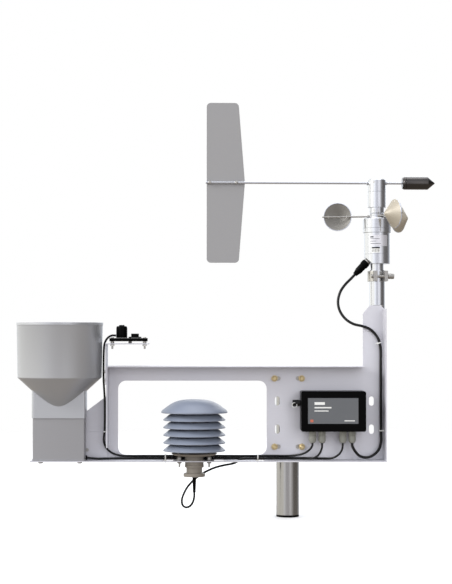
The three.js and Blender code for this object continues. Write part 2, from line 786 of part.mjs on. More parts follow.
function makeShieldBase() {
  const { x, y, rim } = SHIELD;
  const { radius, bottom, disc: discLevel } = NECK;
  const bore = 8;
  let base = toSolid(
    turned([
      [bore, bottom],
      [radius, bottom],
      [radius, discLevel],
      [44, discLevel],
      [50, discLevel + 4.5],
      [bore, discLevel + 4.5],
      [bore, bottom],
    ]),
  );
  for (const [rodX, rodY] of tieRodPlaces()) {
    base = base.add(toSolid(disc(TIE_ROD.radius, discLevel + 4, rim + 19, 6).translate(rodX, rodY, 0)));
  }
  for (const side of [-1, 1]) {
    const post = disc(STUD.post, SHELF_TOP + GAP, discLevel + 1, 12);
    const stud = disc(STUD.radius, PLATE.bottom - STUD.tip, SHELF_TOP + 1, 12);
    const nut = disc(STUD.nut, PLATE.bottom - GAP - STUD.nutHeight, PLATE.bottom - GAP, 6);
    for (const shape of [post, stud, nut]) base = base.add(toSolid(shape.translate(side * STUD.x, 0, 0)));
  }
  add("shield_base", toGeometry(base).translate(x, y, 0), "beigePlastic");

  const top = bottom - GAP;
  const probe = turned(
    [
      [0, 58.6],
      [3.2, 58.6],
      [4.3, 91.6],
      [23.3, 92.4],
      [23.3, 99.6],
      [17, 101.6],
      [17, 112],
      [20.6, 112.4],
      [20.6, top],
      [7.6, top],
      [7.6, 205],
      [6, 212],
      [0, 212],
    ],
    20,
  );
  add("humidity_probe", probe.translate(x, y, 0), "beigePlastic");
}

function makeProbeLead() {
  const low = SHELF_TOP + GAP + LEAD.thin / 2;
  const route = [
    [SHIELD.x, SHIELD.y, 58.3],
    [-203.3, -62, 48],
    [-206.5, -61, 36.5],
    [-213.5, -59.5, 28],
    [-222, -57.5, 26],
    [-228.6, -55, 31],
    [-229.8, -52.5, 42],
    [-226, -50, 54],
    [-219, -48, 67],
    [-210, -44, 78],
    [-199.5, -38, 87],
    [-188.5, -33, 95],
    [-174, -32, 102.5],
    [-158, -35, 109.5],
    [-138, -40, 115],
    [-122, -46, 118.4],
    [-113, -50.5, 122],
    [-106.5, -51, 127],
    [-98, -48.5, low],
    [-80, -44.2, low],
    [-40, -43.8, low],
    [20, -44.2, low],
    [42, -48, low],
    [56, -56, low + 2],
    [66, -63, low + 11],
    [71, -66, low + 23],
    [GLANDS.xs[1], GLANDS.y, GLANDS.bottom - GAP],
  ];
  add("probe_lead", lead(route, LEAD.thin, 60), "blackRubber");
}

// ---- Data logger ----

function makeLogger() {
  const { left, right, bottom, top, split, front } = LOGGER;
  const back = PLATE.front - GAP;
  const wall = 3;
  const corner = 4;
  const outer = upright(roundedRectangle(left, right, bottom, top, corner), back, back - split, 3);
  const inner = block(left + wall, right - wall, split - 1, back - wall, bottom + wall, top - wall);
  const port = bar([left - 12.3, PORT.y, PORT.level], [left + 1, PORT.y, PORT.level], PORT.radius, 16);
  add("logger_box", join(cut(outer, inner), port), "blackPlastic");

  const lidBack = split - GAP;
  const lid = upright(roundedRectangle(left, right, bottom, top, corner), lidBack, lidBack - front, 3);
  const recess = block(left + 14, right - 16.1, front - 1, front + 1, bottom + 16.5, top - 14);
  const underside = block(left + 4, right - 4, lidBack - 6, lidBack + 1, bottom + 4, top - 4);
  add("logger_lid", cut(lid, recess, underside), "blackPlastic");

  add("circuit_board", block(left + 12, right - 12, -62, -60.4, bottom + 8, top - 8), "boardGreen");
  const cells = roundedRectangle(left + 20, left + 84, -57, -43, 6.9);
  add("battery_pack", flat(cells, bottom + 38, 36, 4), "batteryBlue");

  const { cap: capRadius, capLength } = PORT;
  const bore = capRadius - 2;
  const cap = turned([[0, 0], [capRadius, 0], [capRadius, capLength], [bore, capLength], [bore, 4.5], [0, 4.5]], 20);
  cap.rotateY(Math.PI / 2).translate(left - GAP - capLength, PORT.y, PORT.level);
  add("port_cap", cap, "blackRubber");

  GLANDS.xs.forEach((x, index) => {
    const body = disc(8.6, GLANDS.nut, bottom - GAP, 6);
    const dome = turned(
      [
        [0, GLANDS.bottom],
        [5, GLANDS.bottom],
        [7.6, GLANDS.bottom + 4],
        [8.2, GLANDS.nut - 1.5],
        [6.8, GLANDS.nut + 0.5],
        [0, GLANDS.nut + 0.5],
      ],
      16,
    );
    add(`gland_${index + 1}`, join(body, dome).translate(x, GLANDS.y, 0), "greyPlastic");
  });
}

makeMast();
makeClamps();
makePlate();
makeWindPost();
makeSensorBody();
makeCupRotor();
makeVane();
makeWindLead();
makeGaugeFunnel();
makeGaugeBase();
makeTippingBucket();
makeGaugeBracket();
makeRainLead();
makeSolarBracket();
makeSolarSensor();
makeSolarLead();
makeShield();
makeShieldBase();
makeProbeLead();
makeLogger();

export default station;
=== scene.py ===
"""A mast-mounted weather station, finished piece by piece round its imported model.

Lengths in the drawing functions are millimetres, and each finished piece is brought to metres.
+Z is up, -Y is the front, and the origin is the foot of the mast.
"""
import math

import bmesh
import bpy
from mathutils import Matrix, Vector


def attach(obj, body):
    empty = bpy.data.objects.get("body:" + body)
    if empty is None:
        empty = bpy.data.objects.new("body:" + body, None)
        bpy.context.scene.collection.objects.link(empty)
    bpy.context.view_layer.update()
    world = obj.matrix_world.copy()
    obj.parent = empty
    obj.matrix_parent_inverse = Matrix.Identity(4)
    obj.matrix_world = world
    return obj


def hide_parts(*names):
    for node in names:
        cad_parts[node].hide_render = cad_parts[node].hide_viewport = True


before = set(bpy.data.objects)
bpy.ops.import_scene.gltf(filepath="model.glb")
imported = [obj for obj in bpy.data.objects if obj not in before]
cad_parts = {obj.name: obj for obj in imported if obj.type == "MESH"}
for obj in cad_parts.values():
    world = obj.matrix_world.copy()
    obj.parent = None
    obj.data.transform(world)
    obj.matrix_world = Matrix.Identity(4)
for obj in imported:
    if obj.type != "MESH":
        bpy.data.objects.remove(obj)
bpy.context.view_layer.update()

bl_info = {
    "name": "Weather Station",
    "version": (1, 0, 0),
    "blender": (4, 5, 0),
    "location": "View3D > Sidebar > Station",
    "description": "Builds a mast-mounted weather station with its sensors, leads and logger",
    "category": "Add Mesh",
}

MM = 0.001

# Where the groups stand, in millimetres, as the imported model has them.
POST = (195.4, -15.5)
GAUGE = (-493.2, -61.5)
SOLAR = (-343.7, -61.5)
SHIELD = (-203.0, -62.0)
PLUG_WAY = Vector((-0.69, 0.0, -0.724)).normalized()
SOCKET = Vector((POST[0] - 19.4, POST[1], 559.0))
CUP_LEVEL = 656.0
SHAFT_LEVEL = 729.1
VANE_TURN = math.radians(2.5)
GLAND_PLACES = (50.9, 71.7, 116.3, 136.3)
CUP_REACH = 85.9
CUP_TURN = 171.3
CONE_RIM, CONE_LEVEL, CONE_SLOPE = 90.3, 305.3, 0.914
SUN_EYE, VIAL = -359.5, -331.0
LOUVRE_TOP, LOUVRE_STEP = 229.3, 16.4
CLAMP_REACH = 29.6
TIE_RODS = [(38 * math.cos(math.radians(a)), 38 * math.sin(math.radians(a))) for a in (90, 210, 330)]


# ---- Settings that a user would change ----


class StationSizes(bpy.types.PropertyGroup):
    edge: bpy.props.FloatProperty(
        name="Edge round",
        description="Rounding on folded and cut edges",
        default=0.0004,
        min=0,
        unit="LENGTH",
    )
    thin_lead: bpy.props.FloatProperty(
        name="Thin lead", description="Diameter of the sensor leads", default=0.0046, unit="LENGTH"
    )
    thick_lead: bpy.props.FloatProperty(
        name="Thick lead",
        description="Diameter of the wind sensor's lead",
        default=0.006,
        unit="LENGTH",
    )
    thread_pitch: bpy.props.FloatProperty(
        name="Thread pitch",
        description="Spacing of the U-bolts' thread",
        default=0.00125,
        unit="LENGTH",
    )
    floor_reach: bpy.props.FloatProperty(
        name="Floor reach", description="Radius of the pale floor", default=9.0, unit="LENGTH"
    )


def colour_setting(name, red, green, blue):
    return bpy.props.FloatVectorProperty(
        name=name,
        description=f"Base colour of the {name.lower()}",
        subtype="COLOR",
        size=3,
        min=0,
        max=1,
        default=tuple(to_linear(value) for value in (red, green, blue)),
    )


def to_linear(value):
    share = value / 255
    return share / 12.92 if share <= 0.04045 else ((share + 0.055) / 1.055) ** 2.4


class StationColours(bpy.types.PropertyGroup):
    mast: colour_setting("Mast steel", 158, 157, 156)
    sheet: colour_setting("Satin sheet", 197, 197, 204)
    turned: colour_setting("Turned aluminium", 196, 198, 203)
    gauge: colour_setting("Gauge metal", 172, 174, 178)
    # Painted shade: the gauge's metal made darker for the tray, whose flat front catches much light.
    gauge_metal_in_shade: colour_setting("Gauge case", 140, 140, 143)
    weight: colour_setting("Weight steel", 68, 66, 66)
    # Painted highlight: the cups' lip, the same paint as the cups, given a lighter blue for the sky it
    # reflects.
    rim: colour_setting("Cup rim", 190, 194, 206)
    steel: colour_setting("Bright steel", 168, 166, 162)
    zinc: colour_setting("Yellow zinc", 206, 186, 140)
    fin: colour_setting("Tail sheet", 141, 141, 143)
    cup: colour_setting("Cup paint", 160, 152, 137)
    # Painted shade: the inside of the cups, the same paint as outside, given a darker grey.
    cup_inside_shade: colour_setting("Cup inside", 132, 130, 126)
    # Painted shade and painted sky reflection: the screen's white plastic is given as a darker
    # blue-grey.
    screen: colour_setting("Screen plastic", 118, 126, 142)
    beige: colour_setting("Beige plastic", 122, 116, 108)
    black: colour_setting("Black plastic", 2, 2, 2)
    grey: colour_setting("Gland plastic", 130, 131, 124)
    jacket: colour_setting("Lead jacket", 5, 5, 6)
    label: colour_setting("Label grey", 84, 87, 91)
    paper: colour_setting("Label white", 215, 216, 214)
    mark: colour_setting("Label mark", 176, 92, 66)
    sensor_label: colour_setting("Sensor label", 204, 204, 210)


# ---- Drawing helpers ----


def newest(bm, before):
    """The points drawn since the set of points before."""
    return [point for point in bm.verts if point not in before]


def moved(x=0.0, y=0.0, z=0.0):
    return Matrix.Translation((x, y, z))


def facing(direction, at=(0, 0, 0)):
    """Turns +Z to a direction and moves the origin to a point."""
    turn = Vector((0, 0, 1)).rotation_difference(Vector(direction).normalized())
    return Matrix.Translation(Vector(at)) @ turn.to_matrix().to_4x4()


def turn_outline(bm, outline, place=Matrix.Identity(4), steps=72, closed=False, sweep=math.tau):
    """Spins a radius-height outline about an upright axis, then puts it in place."""
    before = set(bm.verts)
    points = [bm.verts.new((radius, 0, height)) for radius, height in outline]
    edges = [bm.edges.new(pair) for pair in zip(points, points[1:])]
    if closed:
        edges.append(bm.edges.new((points[-1], points[0])))
    full = abs(sweep - math.tau) < 1e-6
    bmesh.ops.spin(
        bm, geom=points + edges, cent=(0, 0, 0), axis=(0, 0, 1),
        angle=sweep, steps=steps, use_merge=full,
    )
    made = newest(bm, before)
    if not full:
        ends = {edge for point in made for edge in point.link_edges if edge.is_boundary}
        bmesh.ops.holes_fill(bm, edges=list(ends), sides=0)
    bmesh.ops.transform(bm, matrix=place, verts=made)


def rod(bm, first, last, radius, sides=24, end_radius=None):
    """A straight round or many-sided bar between two points."""
    first, last = Vector(first), Vector(last)
    bmesh.ops.create_cone(
        bm,
        cap_ends=True,
        segments=sides,
        radius1=radius,
        radius2=radius if end_radius is None else end_radius,
        depth=(last - first).length,
        matrix=facing(last - first, (first + last) / 2),
    )


def slab(bm, low, high, place=Matrix.Identity(4)):
    """A plain block between two corners, which gets its round edges when it is finished."""
    low, high = Vector(low), Vector(high)
    size = high - low
    shape = Matrix.Translation((low + high) / 2) @ Matrix.Diagonal((*size, 1))
    bmesh.ops.create_cube(bm, size=1, matrix=place @ shape)


def ribs(bm, count, low, high, place):
    """Equal blocks set round an axis."""
    for rib in range(count):
        slab(bm, low, high, place @ Matrix.Rotation(math.tau * rib / count, 4, "Z"))


def ring(bm, radius, thickness, place=Matrix.Identity(4), steps=48, sides=12):
    """A round-section ring about an upright axis."""
    outline = [
        (
            radius + thickness * math.cos(math.tau * side / sides),
            thickness * math.sin(math.tau * side / sides),
        )
        for side in range(sides)
    ]
    turn_outline(bm, outline, place, steps, closed=True)


def copied(node):
    """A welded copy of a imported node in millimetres, with its flat faces made whole."""
    bm = bmesh.new()
    bm.from_mesh(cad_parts[node].data)
    bmesh.ops.remove_doubles(bm, verts=bm.verts, dist=1e-6)
    bmesh.ops.dissolve_limit(bm, angle_limit=math.radians(0.8), verts=bm.verts, edges=bm.edges)
    bmesh.ops.scale(bm, vec=(1 / MM, 1 / MM, 1 / MM), verts=bm.verts)
    return bm


def finished(
    bm, name, looks, body="station", slot=None, instead_of=(), edge=0.0, sharp=35.0, keep=False
):
    """Makes a drawn shape a piece, with its shading, finishes and the body it rides on."""
    if not keep:
        bmesh.ops.remove_doubles(bm, verts=bm.verts, dist=0.002)
        bmesh.ops.recalc_face_normals(bm, faces=bm.faces)
    bmesh.ops.scale(bm, vec=(MM, MM, MM), verts=bm.verts)
    limit = math.radians(sharp)
    for face in bm.faces:
        face.smooth = True
    for line in bm.edges:
        if line.is_manifold and line.calc_face_angle(0.0) > limit:
            line.smooth = False
    mesh = bpy.data.meshes.new(name)
    bm.to_mesh(mesh)
    bm.free()
    piece = bpy.data.objects.new(name, mesh)
    bpy.context.scene.collection.objects.link(piece)
    for look in [looks] if isinstance(looks, str) else looks:
        mesh.materials.append(finish(look))
    if edge > 0:
        bevel = piece.modifiers.new("round_edges", "BEVEL")
        bevel.width = edge
        bevel.segments = 2
        bevel.limit_method = "ANGLE"
        bevel.angle_limit = limit
        bevel.use_clamp_overlap = False
        bevel.harden_normals = True
    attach(piece, body)
    if instead_of:
        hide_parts(*instead_of)
    return piece


def carried(node, name, look, slot, **ways):
    """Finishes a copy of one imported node, which then stands for that node."""
    return finished(copied(node), name, look, slot=slot, instead_of=[node], **ways)


def dressed(node, look):
    """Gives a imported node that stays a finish."""
    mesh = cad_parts[node].data
    mesh.materials.clear()
    mesh.materials.append(finish(look))


# ---- Finishes ----


def node_group(name, inputs, outputs):
    group = bpy.data.node_groups.new(name, "ShaderNodeTree")
    for label, kind, default in inputs:
        socket = group.interface.new_socket(label, in_out="INPUT", socket_type=kind)
        if default is not None:
            socket.default_value = default
    for label, kind in outputs:
        group.interface.new_socket(label, in_out="OUTPUT", socket_type=kind)
    return group, group.nodes.new("NodeGroupInput"), group.nodes.new("NodeGroupOutput")


def math_node(tree, operation, first, second):
    """A Math node whose two inputs are each a socket or a number."""
    node = tree.nodes.new("ShaderNodeMath")
    node.operation = operation
    for socket, value in zip(node.inputs, (first, second)):
        if isinstance(value, (int, float)):
            socket.default_value = value
        else:
            tree.links.new(value, socket)
    return node.outputs[0]


def surface_grain():
    """Fine grain or drawn streaks, as a tone on the colour, a change of roughness and a height."""
    if "surface_grain" in bpy.data.node_groups:
        return bpy.data.node_groups["surface_grain"]
    group, given, result = node_group(
        "surface_grain",
        [
            ("Vector", "NodeSocketVector", None),
            ("Stretch", "NodeSocketVector", (1, 1, 1)),
            ("Size", "NodeSocketFloat", 900.0),
            ("Color", "NodeSocketColor", (0.5, 0.5, 0.5, 1)),
            ("Tone", "NodeSocketFloat", 0.05),
            ("Roughness", "NodeSocketFloat", 0.4),
            ("Unevenness", "NodeSocketFloat", 0.1),
        ],
        [("Color", "NodeSocketColor"), ("Roughness", "NodeSocketFloat"), ("Height", "NodeSocketFloat")],
    )
    stretch = group.nodes.new("ShaderNodeVectorMath")
    stretch.operation = "MULTIPLY"
    group.links.new(given.outputs["Vector"], stretch.inputs[0])
    group.links.new(given.outputs["Stretch"], stretch.inputs[1])
    grain = group.nodes.new("ShaderNodeTexNoise")
    grain.inputs["Detail"].default_value = 5
    grain.inputs["Roughness"].default_value = 0.6
    group.links.new(stretch.outputs[0], grain.inputs["Vector"])
    group.links.new(given.outputs["Size"], grain.inputs["Scale"])
    swing = math_node(group, "SUBTRACT", grain.outputs["Fac"], 0.5)
    tone = math_node(group, "MULTIPLY", swing, given.outputs["Tone"])
    value = math_node(group, "ADD", math_node(group, "MULTIPLY", tone, 2.0), 1.0)
    shade = group.nodes.new("ShaderNodeHueSaturation")
    group.links.new(value, shade.inputs["Value"])
    group.links.new(given.outputs["Color"], shade.inputs["Color"])
    group.links.new(shade.outputs["Color"], result.inputs["Color"])
    rough = math_node(group, "MULTIPLY", swing, given.outputs["Unevenness"])
    rough = math_node(group, "ADD", rough, given.outputs["Roughness"])
    group.links.new(rough, result.inputs["Roughness"])
    group.links.new(grain.outputs["Fac"], result.inputs["Height"])
    return group


def weather_marks():
    """Broad soft clouding and a few small marks, as bare outdoor metal and plastic gather."""
    if "weather_marks" in bpy.data.node_groups:
        return bpy.data.node_groups["weather_marks"]
    group, given, result = node_group(
        "weather_marks",
        [
            ("Vector", "NodeSocketVector", None),
            ("Color", "NodeSocketColor", (0.5, 0.5, 0.5, 1)),
            ("Tint", "NodeSocketColor", (0.4, 0.36, 0.3, 1)),
            ("Amount", "NodeSocketFloat", 0.12),
        ],
        [("Color", "NodeSocketColor"), ("Mask", "NodeSocketFloat")],
    )
    clouds = group.nodes.new("ShaderNodeTexNoise")
    clouds.inputs["Scale"].default_value = 14
    clouds.inputs["Detail"].default_value = 4
    marks = group.nodes.new("ShaderNodeTexNoise")
    marks.inputs["Scale"].default_value = 160
    marks.inputs["Detail"].default_value = 3
    for texture in (clouds, marks):
        group.links.new(given.outputs["Vector"], texture.inputs["Vector"])
    small = math_node(group, "MULTIPLY", math_node(group, "SUBTRACT", marks.outputs["Fac"], 0.6), 4.0)
    both = math_node(group, "ADD", clouds.outputs["Fac"], math_node(group, "MAXIMUM", small, 0.0))
    mask = math_node(
        group, "MINIMUM", math_node(group, "MULTIPLY", both, given.outputs["Amount"]), 1.0
    )
    blend = group.nodes.new("ShaderNodeMix")
    blend.data_type = "RGBA"
    group.links.new(mask, blend.inputs["Factor"])
    group.links.new(given.outputs["Color"], blend.inputs["A"])
    group.links.new(given.outputs["Tint"], blend.inputs["B"])
    group.links.new(blend.outputs["Result"], result.inputs["Color"])
    group.links.new(mask, result.inputs["Mask"])
    return group


def place_group(tree, group, **values):
    node = tree.nodes.new("ShaderNodeGroup")
    node.node_tree = group
    for label, value in values.items():
        node.inputs[label].default_value = value
    return node


def colours():
    return bpy.context.scene.station_colours


def sizes():
    return bpy.context.scene.station_sizes


# Colour, metallic, roughness, grain size, tone, unevenness, bump and amount of marks.
FINISHES = {
    "mast_steel": ("mast", 0.92, 0.17, 420, 0.1, 0.1, 0.04, 0.08),
    "satin_sheet": ("sheet", 0.35, 0.42, 700, 0.04, 0.12, 0.02, 0.07),
    "turned_aluminium": ("turned", 0.92, 0.2, 900, 0.03, 0.06, 0.02, 0.05),
    "drawn_tube": ("turned", 0.95, 0.17, 480, 0.08, 0.1, 0.03, 0.06),
    "bright_steel": ("steel", 0.9, 0.3, 1100, 0.08, 0.16, 0.04, 0.1),
    "yellow_zinc": ("zinc", 0.85, 0.34, 900, 0.12, 0.2, 0.04, 0.2),
    "tail_sheet": ("fin", 0.15, 0.6, 1300, 0.06, 0.1, 0.03, 0.1),
    "cup_paint": ("cup", 0.15, 0.42, 700, 0.03, 0.08, 0.02, 0.06),
    # Painted shade inside the cups' hollow.
    "cup_inside_shade": ("cup_inside_shade", 0.2, 0.5, 700, 0.05, 0.08, 0.02, 0.12),
    # The screen's colour holds painted shade and a painted blue sky reflection.
    "screen_plastic": ("screen", 0, 0.42, 1500, 0.03, 0.08, 0.03, 0.08),
    "beige_plastic": ("beige", 0, 0.48, 1500, 0.04, 0.08, 0.03, 0.1),
    "black_plastic": ("black", 0, 0.36, 2200, 0.12, 0.12, 0.05, 0.001),
    "gland_plastic": ("grey", 0, 0.42, 1700, 0.04, 0.1, 0.03, 0.08),
    "lead_jacket": ("jacket", 0, 0.26, 1800, 0.1, 0.1, 0.03, 0.003),
    "label_grey": ("label", 0, 0.5, 2400, 0.04, 0.06, 0.01, 0.05),
    "label_white": ("paper", 0, 0.4, 2400, 0.02, 0.05, 0.01, 0.04),
    "label_mark": ("mark", 0, 0.45, 2400, 0.05, 0.05, 0.01, 0.04),
    "weight_steel": ("weight", 0.95, 0.2, 900, 0.05, 0.08, 0.02, 0.1),
    # Painted sky highlight on the cups' lip.
    "cup_rim_sheen": ("rim", 0.3, 0.35, 900, 0.03, 0.06, 0.02, 0.05),
    "sensor_label": ("sensor_label", 0.4, 0.3, 1500, 0.02, 0.05, 0.02, 0.04),
    "tie_nylon": ("paper", 0, 0.4, 1500, 0.03, 0.05, 0.02, 0.05),
    "gauge_paint": ("gauge", 0.55, 0.34, 900, 0.03, 0.08, 0.02, 0.06),
    # Darker copy of the gauge paint for the tray: painted shade.
    "case_paint": ("gauge_metal_in_shade", 0.3, 0.45, 900, 0.03, 0.08, 0.02, 0.06),
    "board_green": ((0.02, 0.11, 0.05), 0, 0.35, 900, 0.2, 0.1, 0.05, 0.05),
    "cell_blue": ((0.03, 0.07, 0.16), 0, 0.28, 900, 0.1, 0.1, 0.02, 0.05),
    "level_fluid": ((0.55, 0.72, 0.12), 0, 0.08, 300, 0.05, 0.02, 0, 0.08),
}
# How far the grain is drawn out along each axis, where it isn't even.
STRETCHES = {
    "mast_steel": (1, 1, 0.02),
    "satin_sheet": (0.06, 1, 1),
    "turned_aluminium": (0.05, 0.05, 3),
    "drawn_tube": (1, 1, 0.015),
    "tail_sheet": (1, 1, 0.5),
    "weight_steel": (3, 0.05, 0.05),
    "gauge_paint": (0.5, 0.5, 1),
}
SPECULAR = {"black_plastic": 0.05, "lead_jacket": 0.3}
COAT = {"level_fluid": 0.8}
DUST = (0.35, 0.32, 0.28, 1)


def finish(name):
    """One complete finish: clouded and grained colour, uneven gloss and a fine bump."""
    title = f"{name}_finish"
    if title in bpy.data.materials:
        return bpy.data.materials[title]
    colour, metallic, roughness, grain, tone, uneven, bump, marks = FINISHES[name]
    if isinstance(colour, str):
        colour = getattr(colours(), colour)
    material = bpy.data.materials.new(title)
    material.use_nodes = True
    tree = material.node_tree
    shader = tree.nodes["Principled BSDF"]
    shader.inputs["Metallic"].default_value = metallic
    shader.inputs["Coat Weight"].default_value = COAT.get(name, 0.0)
    shader.inputs["Coat Roughness"].default_value = 0.12
    shader.inputs["Specular IOR Level"].default_value = SPECULAR.get(name, 0.5)
    place = tree.nodes.new("ShaderNodeTexCoord")
    clouded = place_group(tree, weather_marks(), Color=(*colour, 1), Tint=DUST, Amount=marks)
    grained = place_group(
        tree,
        surface_grain(),
        Stretch=STRETCHES.get(name, (1, 1, 1)),
        Size=grain,
        Tone=tone,
        Roughness=roughness,
        Unevenness=uneven,
    )
    relief = tree.nodes.new("ShaderNodeBump")
    relief.inputs["Strength"].default_value = bump
    relief.inputs["Distance"].default_value = 0.0004
    for group in (clouded, grained):
        tree.links.new(place.outputs["Object"], group.inputs["Vector"])
    tree.links.new(clouded.outputs["Color"], grained.inputs["Color"])
    tree.links.new(grained.outputs["Color"], shader.inputs["Base Color"])
    tree.links.new(grained.outputs["Roughness"], shader.inputs["Roughness"])
    tree.links.new(grained.outputs["Height"], relief.inputs["Height"])
    tree.links.new(relief.outputs["Normal"], shader.inputs["Normal"])
    return material


# ---- Stage ----


class STATION_OT_stage(bpy.types.Operator):
    """Lays the pale floor, hangs the soft lights and sets up the camera"""

    bl_idname = "station.stage"
    bl_label = "Stage"

    def execute(self, context):
        bm = bmesh.new()
        bmesh.ops.create_circle(bm, cap_ends=True, segments=96, radius=sizes().floor_reach)
        mesh = bpy.data.meshes.new("floor")
        bm.to_mesh(mesh)
        bm.free()
        floor = bpy.data.objects.new("floor", mesh)
        mesh.materials.append(pale_floor())
        context.scene.collection.objects.link(floor)
        floor.visible_glossy = False
        floor.visible_diffuse = False
        soft_light("key_light", (-3.1, -1.1, 2.1), 1.6, 90)
        soft_light("fill_light", (0.9, -3.1, 0.9), 1.8, 34).visible_glossy = False
        soft_light("top_light", (0.2, 0.4, 2.8), 2.0, 22)
        soft_light("rear_light", (0.6, 2.6, 1.6), 2.0, 16)
        light_world()
        camera = bpy.data.cameras.new("camera")
        camera.lens = 96.706
        camera.sensor_width = 36
        camera.clip_end = 60
        view = bpy.data.objects.new("camera", camera)
        view.location = (-0.134794, -3.445473, 0.395571)
        view.rotation_euler = (math.radians(90 + 1.586947), 0, 0)
        context.scene.collection.objects.link(view)
        context.scene.camera = view
        context.scene.view_settings.view_transform = "Standard"
        return {"FINISHED"}


def soft_light(name, place, size, power):
    lamp = bpy.data.lights.new(name, "AREA")
    lamp.shape = "DISK"
    lamp.size = size
    lamp.energy = power
    light = bpy.data.objects.new(name, lamp)
    light.location = place
    aim = Vector((-0.13, 0, 0.42)) - Vector(place)
    light.rotation_euler = aim.to_track_quat("-Z", "Y").to_euler()
    bpy.context.scene.collection.objects.link(light)
    return light


# Bands of the studio round the station, as a share of a full turn from behind, by the left.
STUDIO_BANDS = [
    (0.0, (1.10, 1.18, 1.30)),
    (0.17, (1.62, 1.60, 1.48)),
    (0.36, (1.62, 1.60, 1.50)),
    (0.41, (1.75, 1.78, 1.85)),
    (0.46, (1.02, 1.02, 1.08)),
    (0.52, (0.92, 0.92, 0.98)),
    (0.57, (1.60, 1.60, 1.66)),
    (0.62, (0.95, 0.94, 0.96)),
    (0.67, (0.19, 0.18, 0.17)),
    (0.79, (0.15, 0.14, 0.135)),
    (0.87, (0.60, 0.62, 0.65)),
    (1.0, (1.10, 1.18, 1.30)),
]


def light_world():
    """A white surround for the eye, and upright bands of light and dark for metal to mirror."""
    world = bpy.data.worlds.new("studio")
    world.use_nodes = True
    tree = world.node_tree
    surround = tree.nodes["Background"]
    surround.inputs["Strength"].default_value = 1.0
    place = tree.nodes.new("ShaderNodeTexCoord")
    parts = tree.nodes.new("ShaderNodeSeparateXYZ")
    tree.links.new(place.outputs["Generated"], parts.inputs[0])
    turn = math_node(
        tree, "ARCTAN2", parts.outputs["X"], math_node(tree, "MULTIPLY", parts.outputs["Y"], -1.0)
    )
    share = math_node(tree, "ADD", math_node(tree, "DIVIDE", turn, math.tau), 0.5)
    bands = tree.nodes.new("ShaderNodeValToRGB")
    tree.links.new(share, bands.inputs[0])
    stops = bands.color_ramp.elements
    while len(stops) < len(STUDIO_BANDS):
        stops.new(0.5)
    for stop, (at, shade) in zip(stops, STUDIO_BANDS):
        stop.position = at
        stop.color = (*shade, 1)
    below = level_blend(
        tree, parts.outputs["Z"], -0.02, -0.3, bands.outputs["Color"], (0.42, 0.37, 0.32, 1)
    )
    above = level_blend(tree, parts.outputs["Z"], 0.45, 0.8, below, (0.95, 0.98, 1.05, 1))
    tree.links.new(above, surround.inputs["Color"])
    seen = tree.nodes.new("ShaderNodeBackground")
    seen.inputs["Color"].default_value = (1, 1, 1, 1)
    path = tree.nodes.new("ShaderNodeLightPath")
    mix = tree.nodes.new("ShaderNodeMixShader")
    tree.links.new(path.outputs["Is Camera Ray"], mix.inputs[0])
    tree.links.new(surround.outputs[0], mix.inputs[1])
    tree.links.new(seen.outputs[0], mix.inputs[2])
    tree.links.new(mix.outputs[0], tree.nodes["World Output"].inputs["Surface"])
    bpy.context.scene.world = world


def level_blend(tree, height, first, last, under, colour):
    """Blends a colour in as the direction rises or falls from one height to another."""
    share = tree.nodes.new("ShaderNodeMapRange")
    share.inputs["From Min"].default_value = first
    share.inputs["From Max"].default_value = last
    tree.links.new(height, share.inputs["Value"])
    mix = tree.nodes.new("ShaderNodeMix")
    mix.data_type = "RGBA"
    tree.links.new(share.outputs["Result"], mix.inputs["Factor"])
    tree.links.new(under, mix.inputs["A"])
    mix.inputs["B"].default_value = colour
    return mix.outputs["Result"]


def pale_floor():
    """A white floor that fades into the surround before its edge."""
    material = bpy.data.materials.new("pale_floor")
    material.use_nodes = True
    tree = material.node_tree
    shader = tree.nodes["Principled BSDF"]
    shader.inputs["Roughness"].default_value = 0.7
    shader.inputs["Specular IOR Level"].default_value = 0.2
    place = tree.nodes.new("ShaderNodeTexCoord")
    distance = tree.nodes.new("ShaderNodeVectorMath")
    distance.operation = "LENGTH"
    tree.links.new(place.outputs["Object"], distance.inputs[0])
    fade = tree.nodes.new("ShaderNodeMapRange")
    fade.inputs["From Min"].default_value = 0.9
    fade.inputs["From Max"].default_value = 3.2
    fade.inputs["To Min"].default_value = 1.0
    fade.inputs["To Max"].default_value = 0.0
    tree.links.new(distance.outputs["Value"], fade.inputs["Value"])
    tree.links.new(fade.outputs["Result"], shader.inputs["Alpha"])
    speckle = tree.nodes.new("ShaderNodeTexNoise")
    speckle.inputs["Scale"].default_value = 60
    tree.links.new(place.outputs["Object"], speckle.inputs["Vector"])
    tone = tree.nodes.new("ShaderNodeMapRange")
    tone.inputs["To Min"].default_value = 0.93
    tone.inputs["To Max"].default_value = 0.97
    tree.links.new(speckle.outputs["Fac"], tone.inputs["Value"])
    tree.links.new(tone.outputs["Result"], shader.inputs["Base Color"])
    return material


# ---- Leads and their ties ----

WIND_ROUTE = [
    [126, -17, 507], [114.9, -20, 490.7], [109.5, -24, 469.3], [113.2, -29, 449], [125.7, -35, 431],
    [142, -40, 420.5], [160, -42, 416], [175.8, -43, 410], [188, -44, 399.3], [196, -45, 386],
    [200, -45, 368], [200.4, -45, 330], [200.4, -45, 250], [200.4, -46, 185], [200, -48, 166],
    [194.6, -52, 149], [181.5, -56, 137], [167, -60, 133], [152, -64, 137], [142, -66, 148],
    [136.8, -66, 158], [136.3, -66, 164.2],
]
RAIN_ROUTE = [
    [-435.7, -58, 132.5], [-425, -57, 131.3], [-410, -54, 130.1], [-390, -50, 130.1],
    [-360, -44, 130.1], [-320, -39.5, 130.1], [-280, -38.4, 130.1], [-200, -38.4, 130.1],
    [-120, -38.4, 130.1], [-30, -38.4, 130.1], [30, -38.6, 130.1], [55, -41, 130.1],
    [76, -48, 130.1], [94, -57, 131.5], [107, -63, 139.1], [114.5, -65.6, 150.1],
    [116.3, -66, 164.2],
]
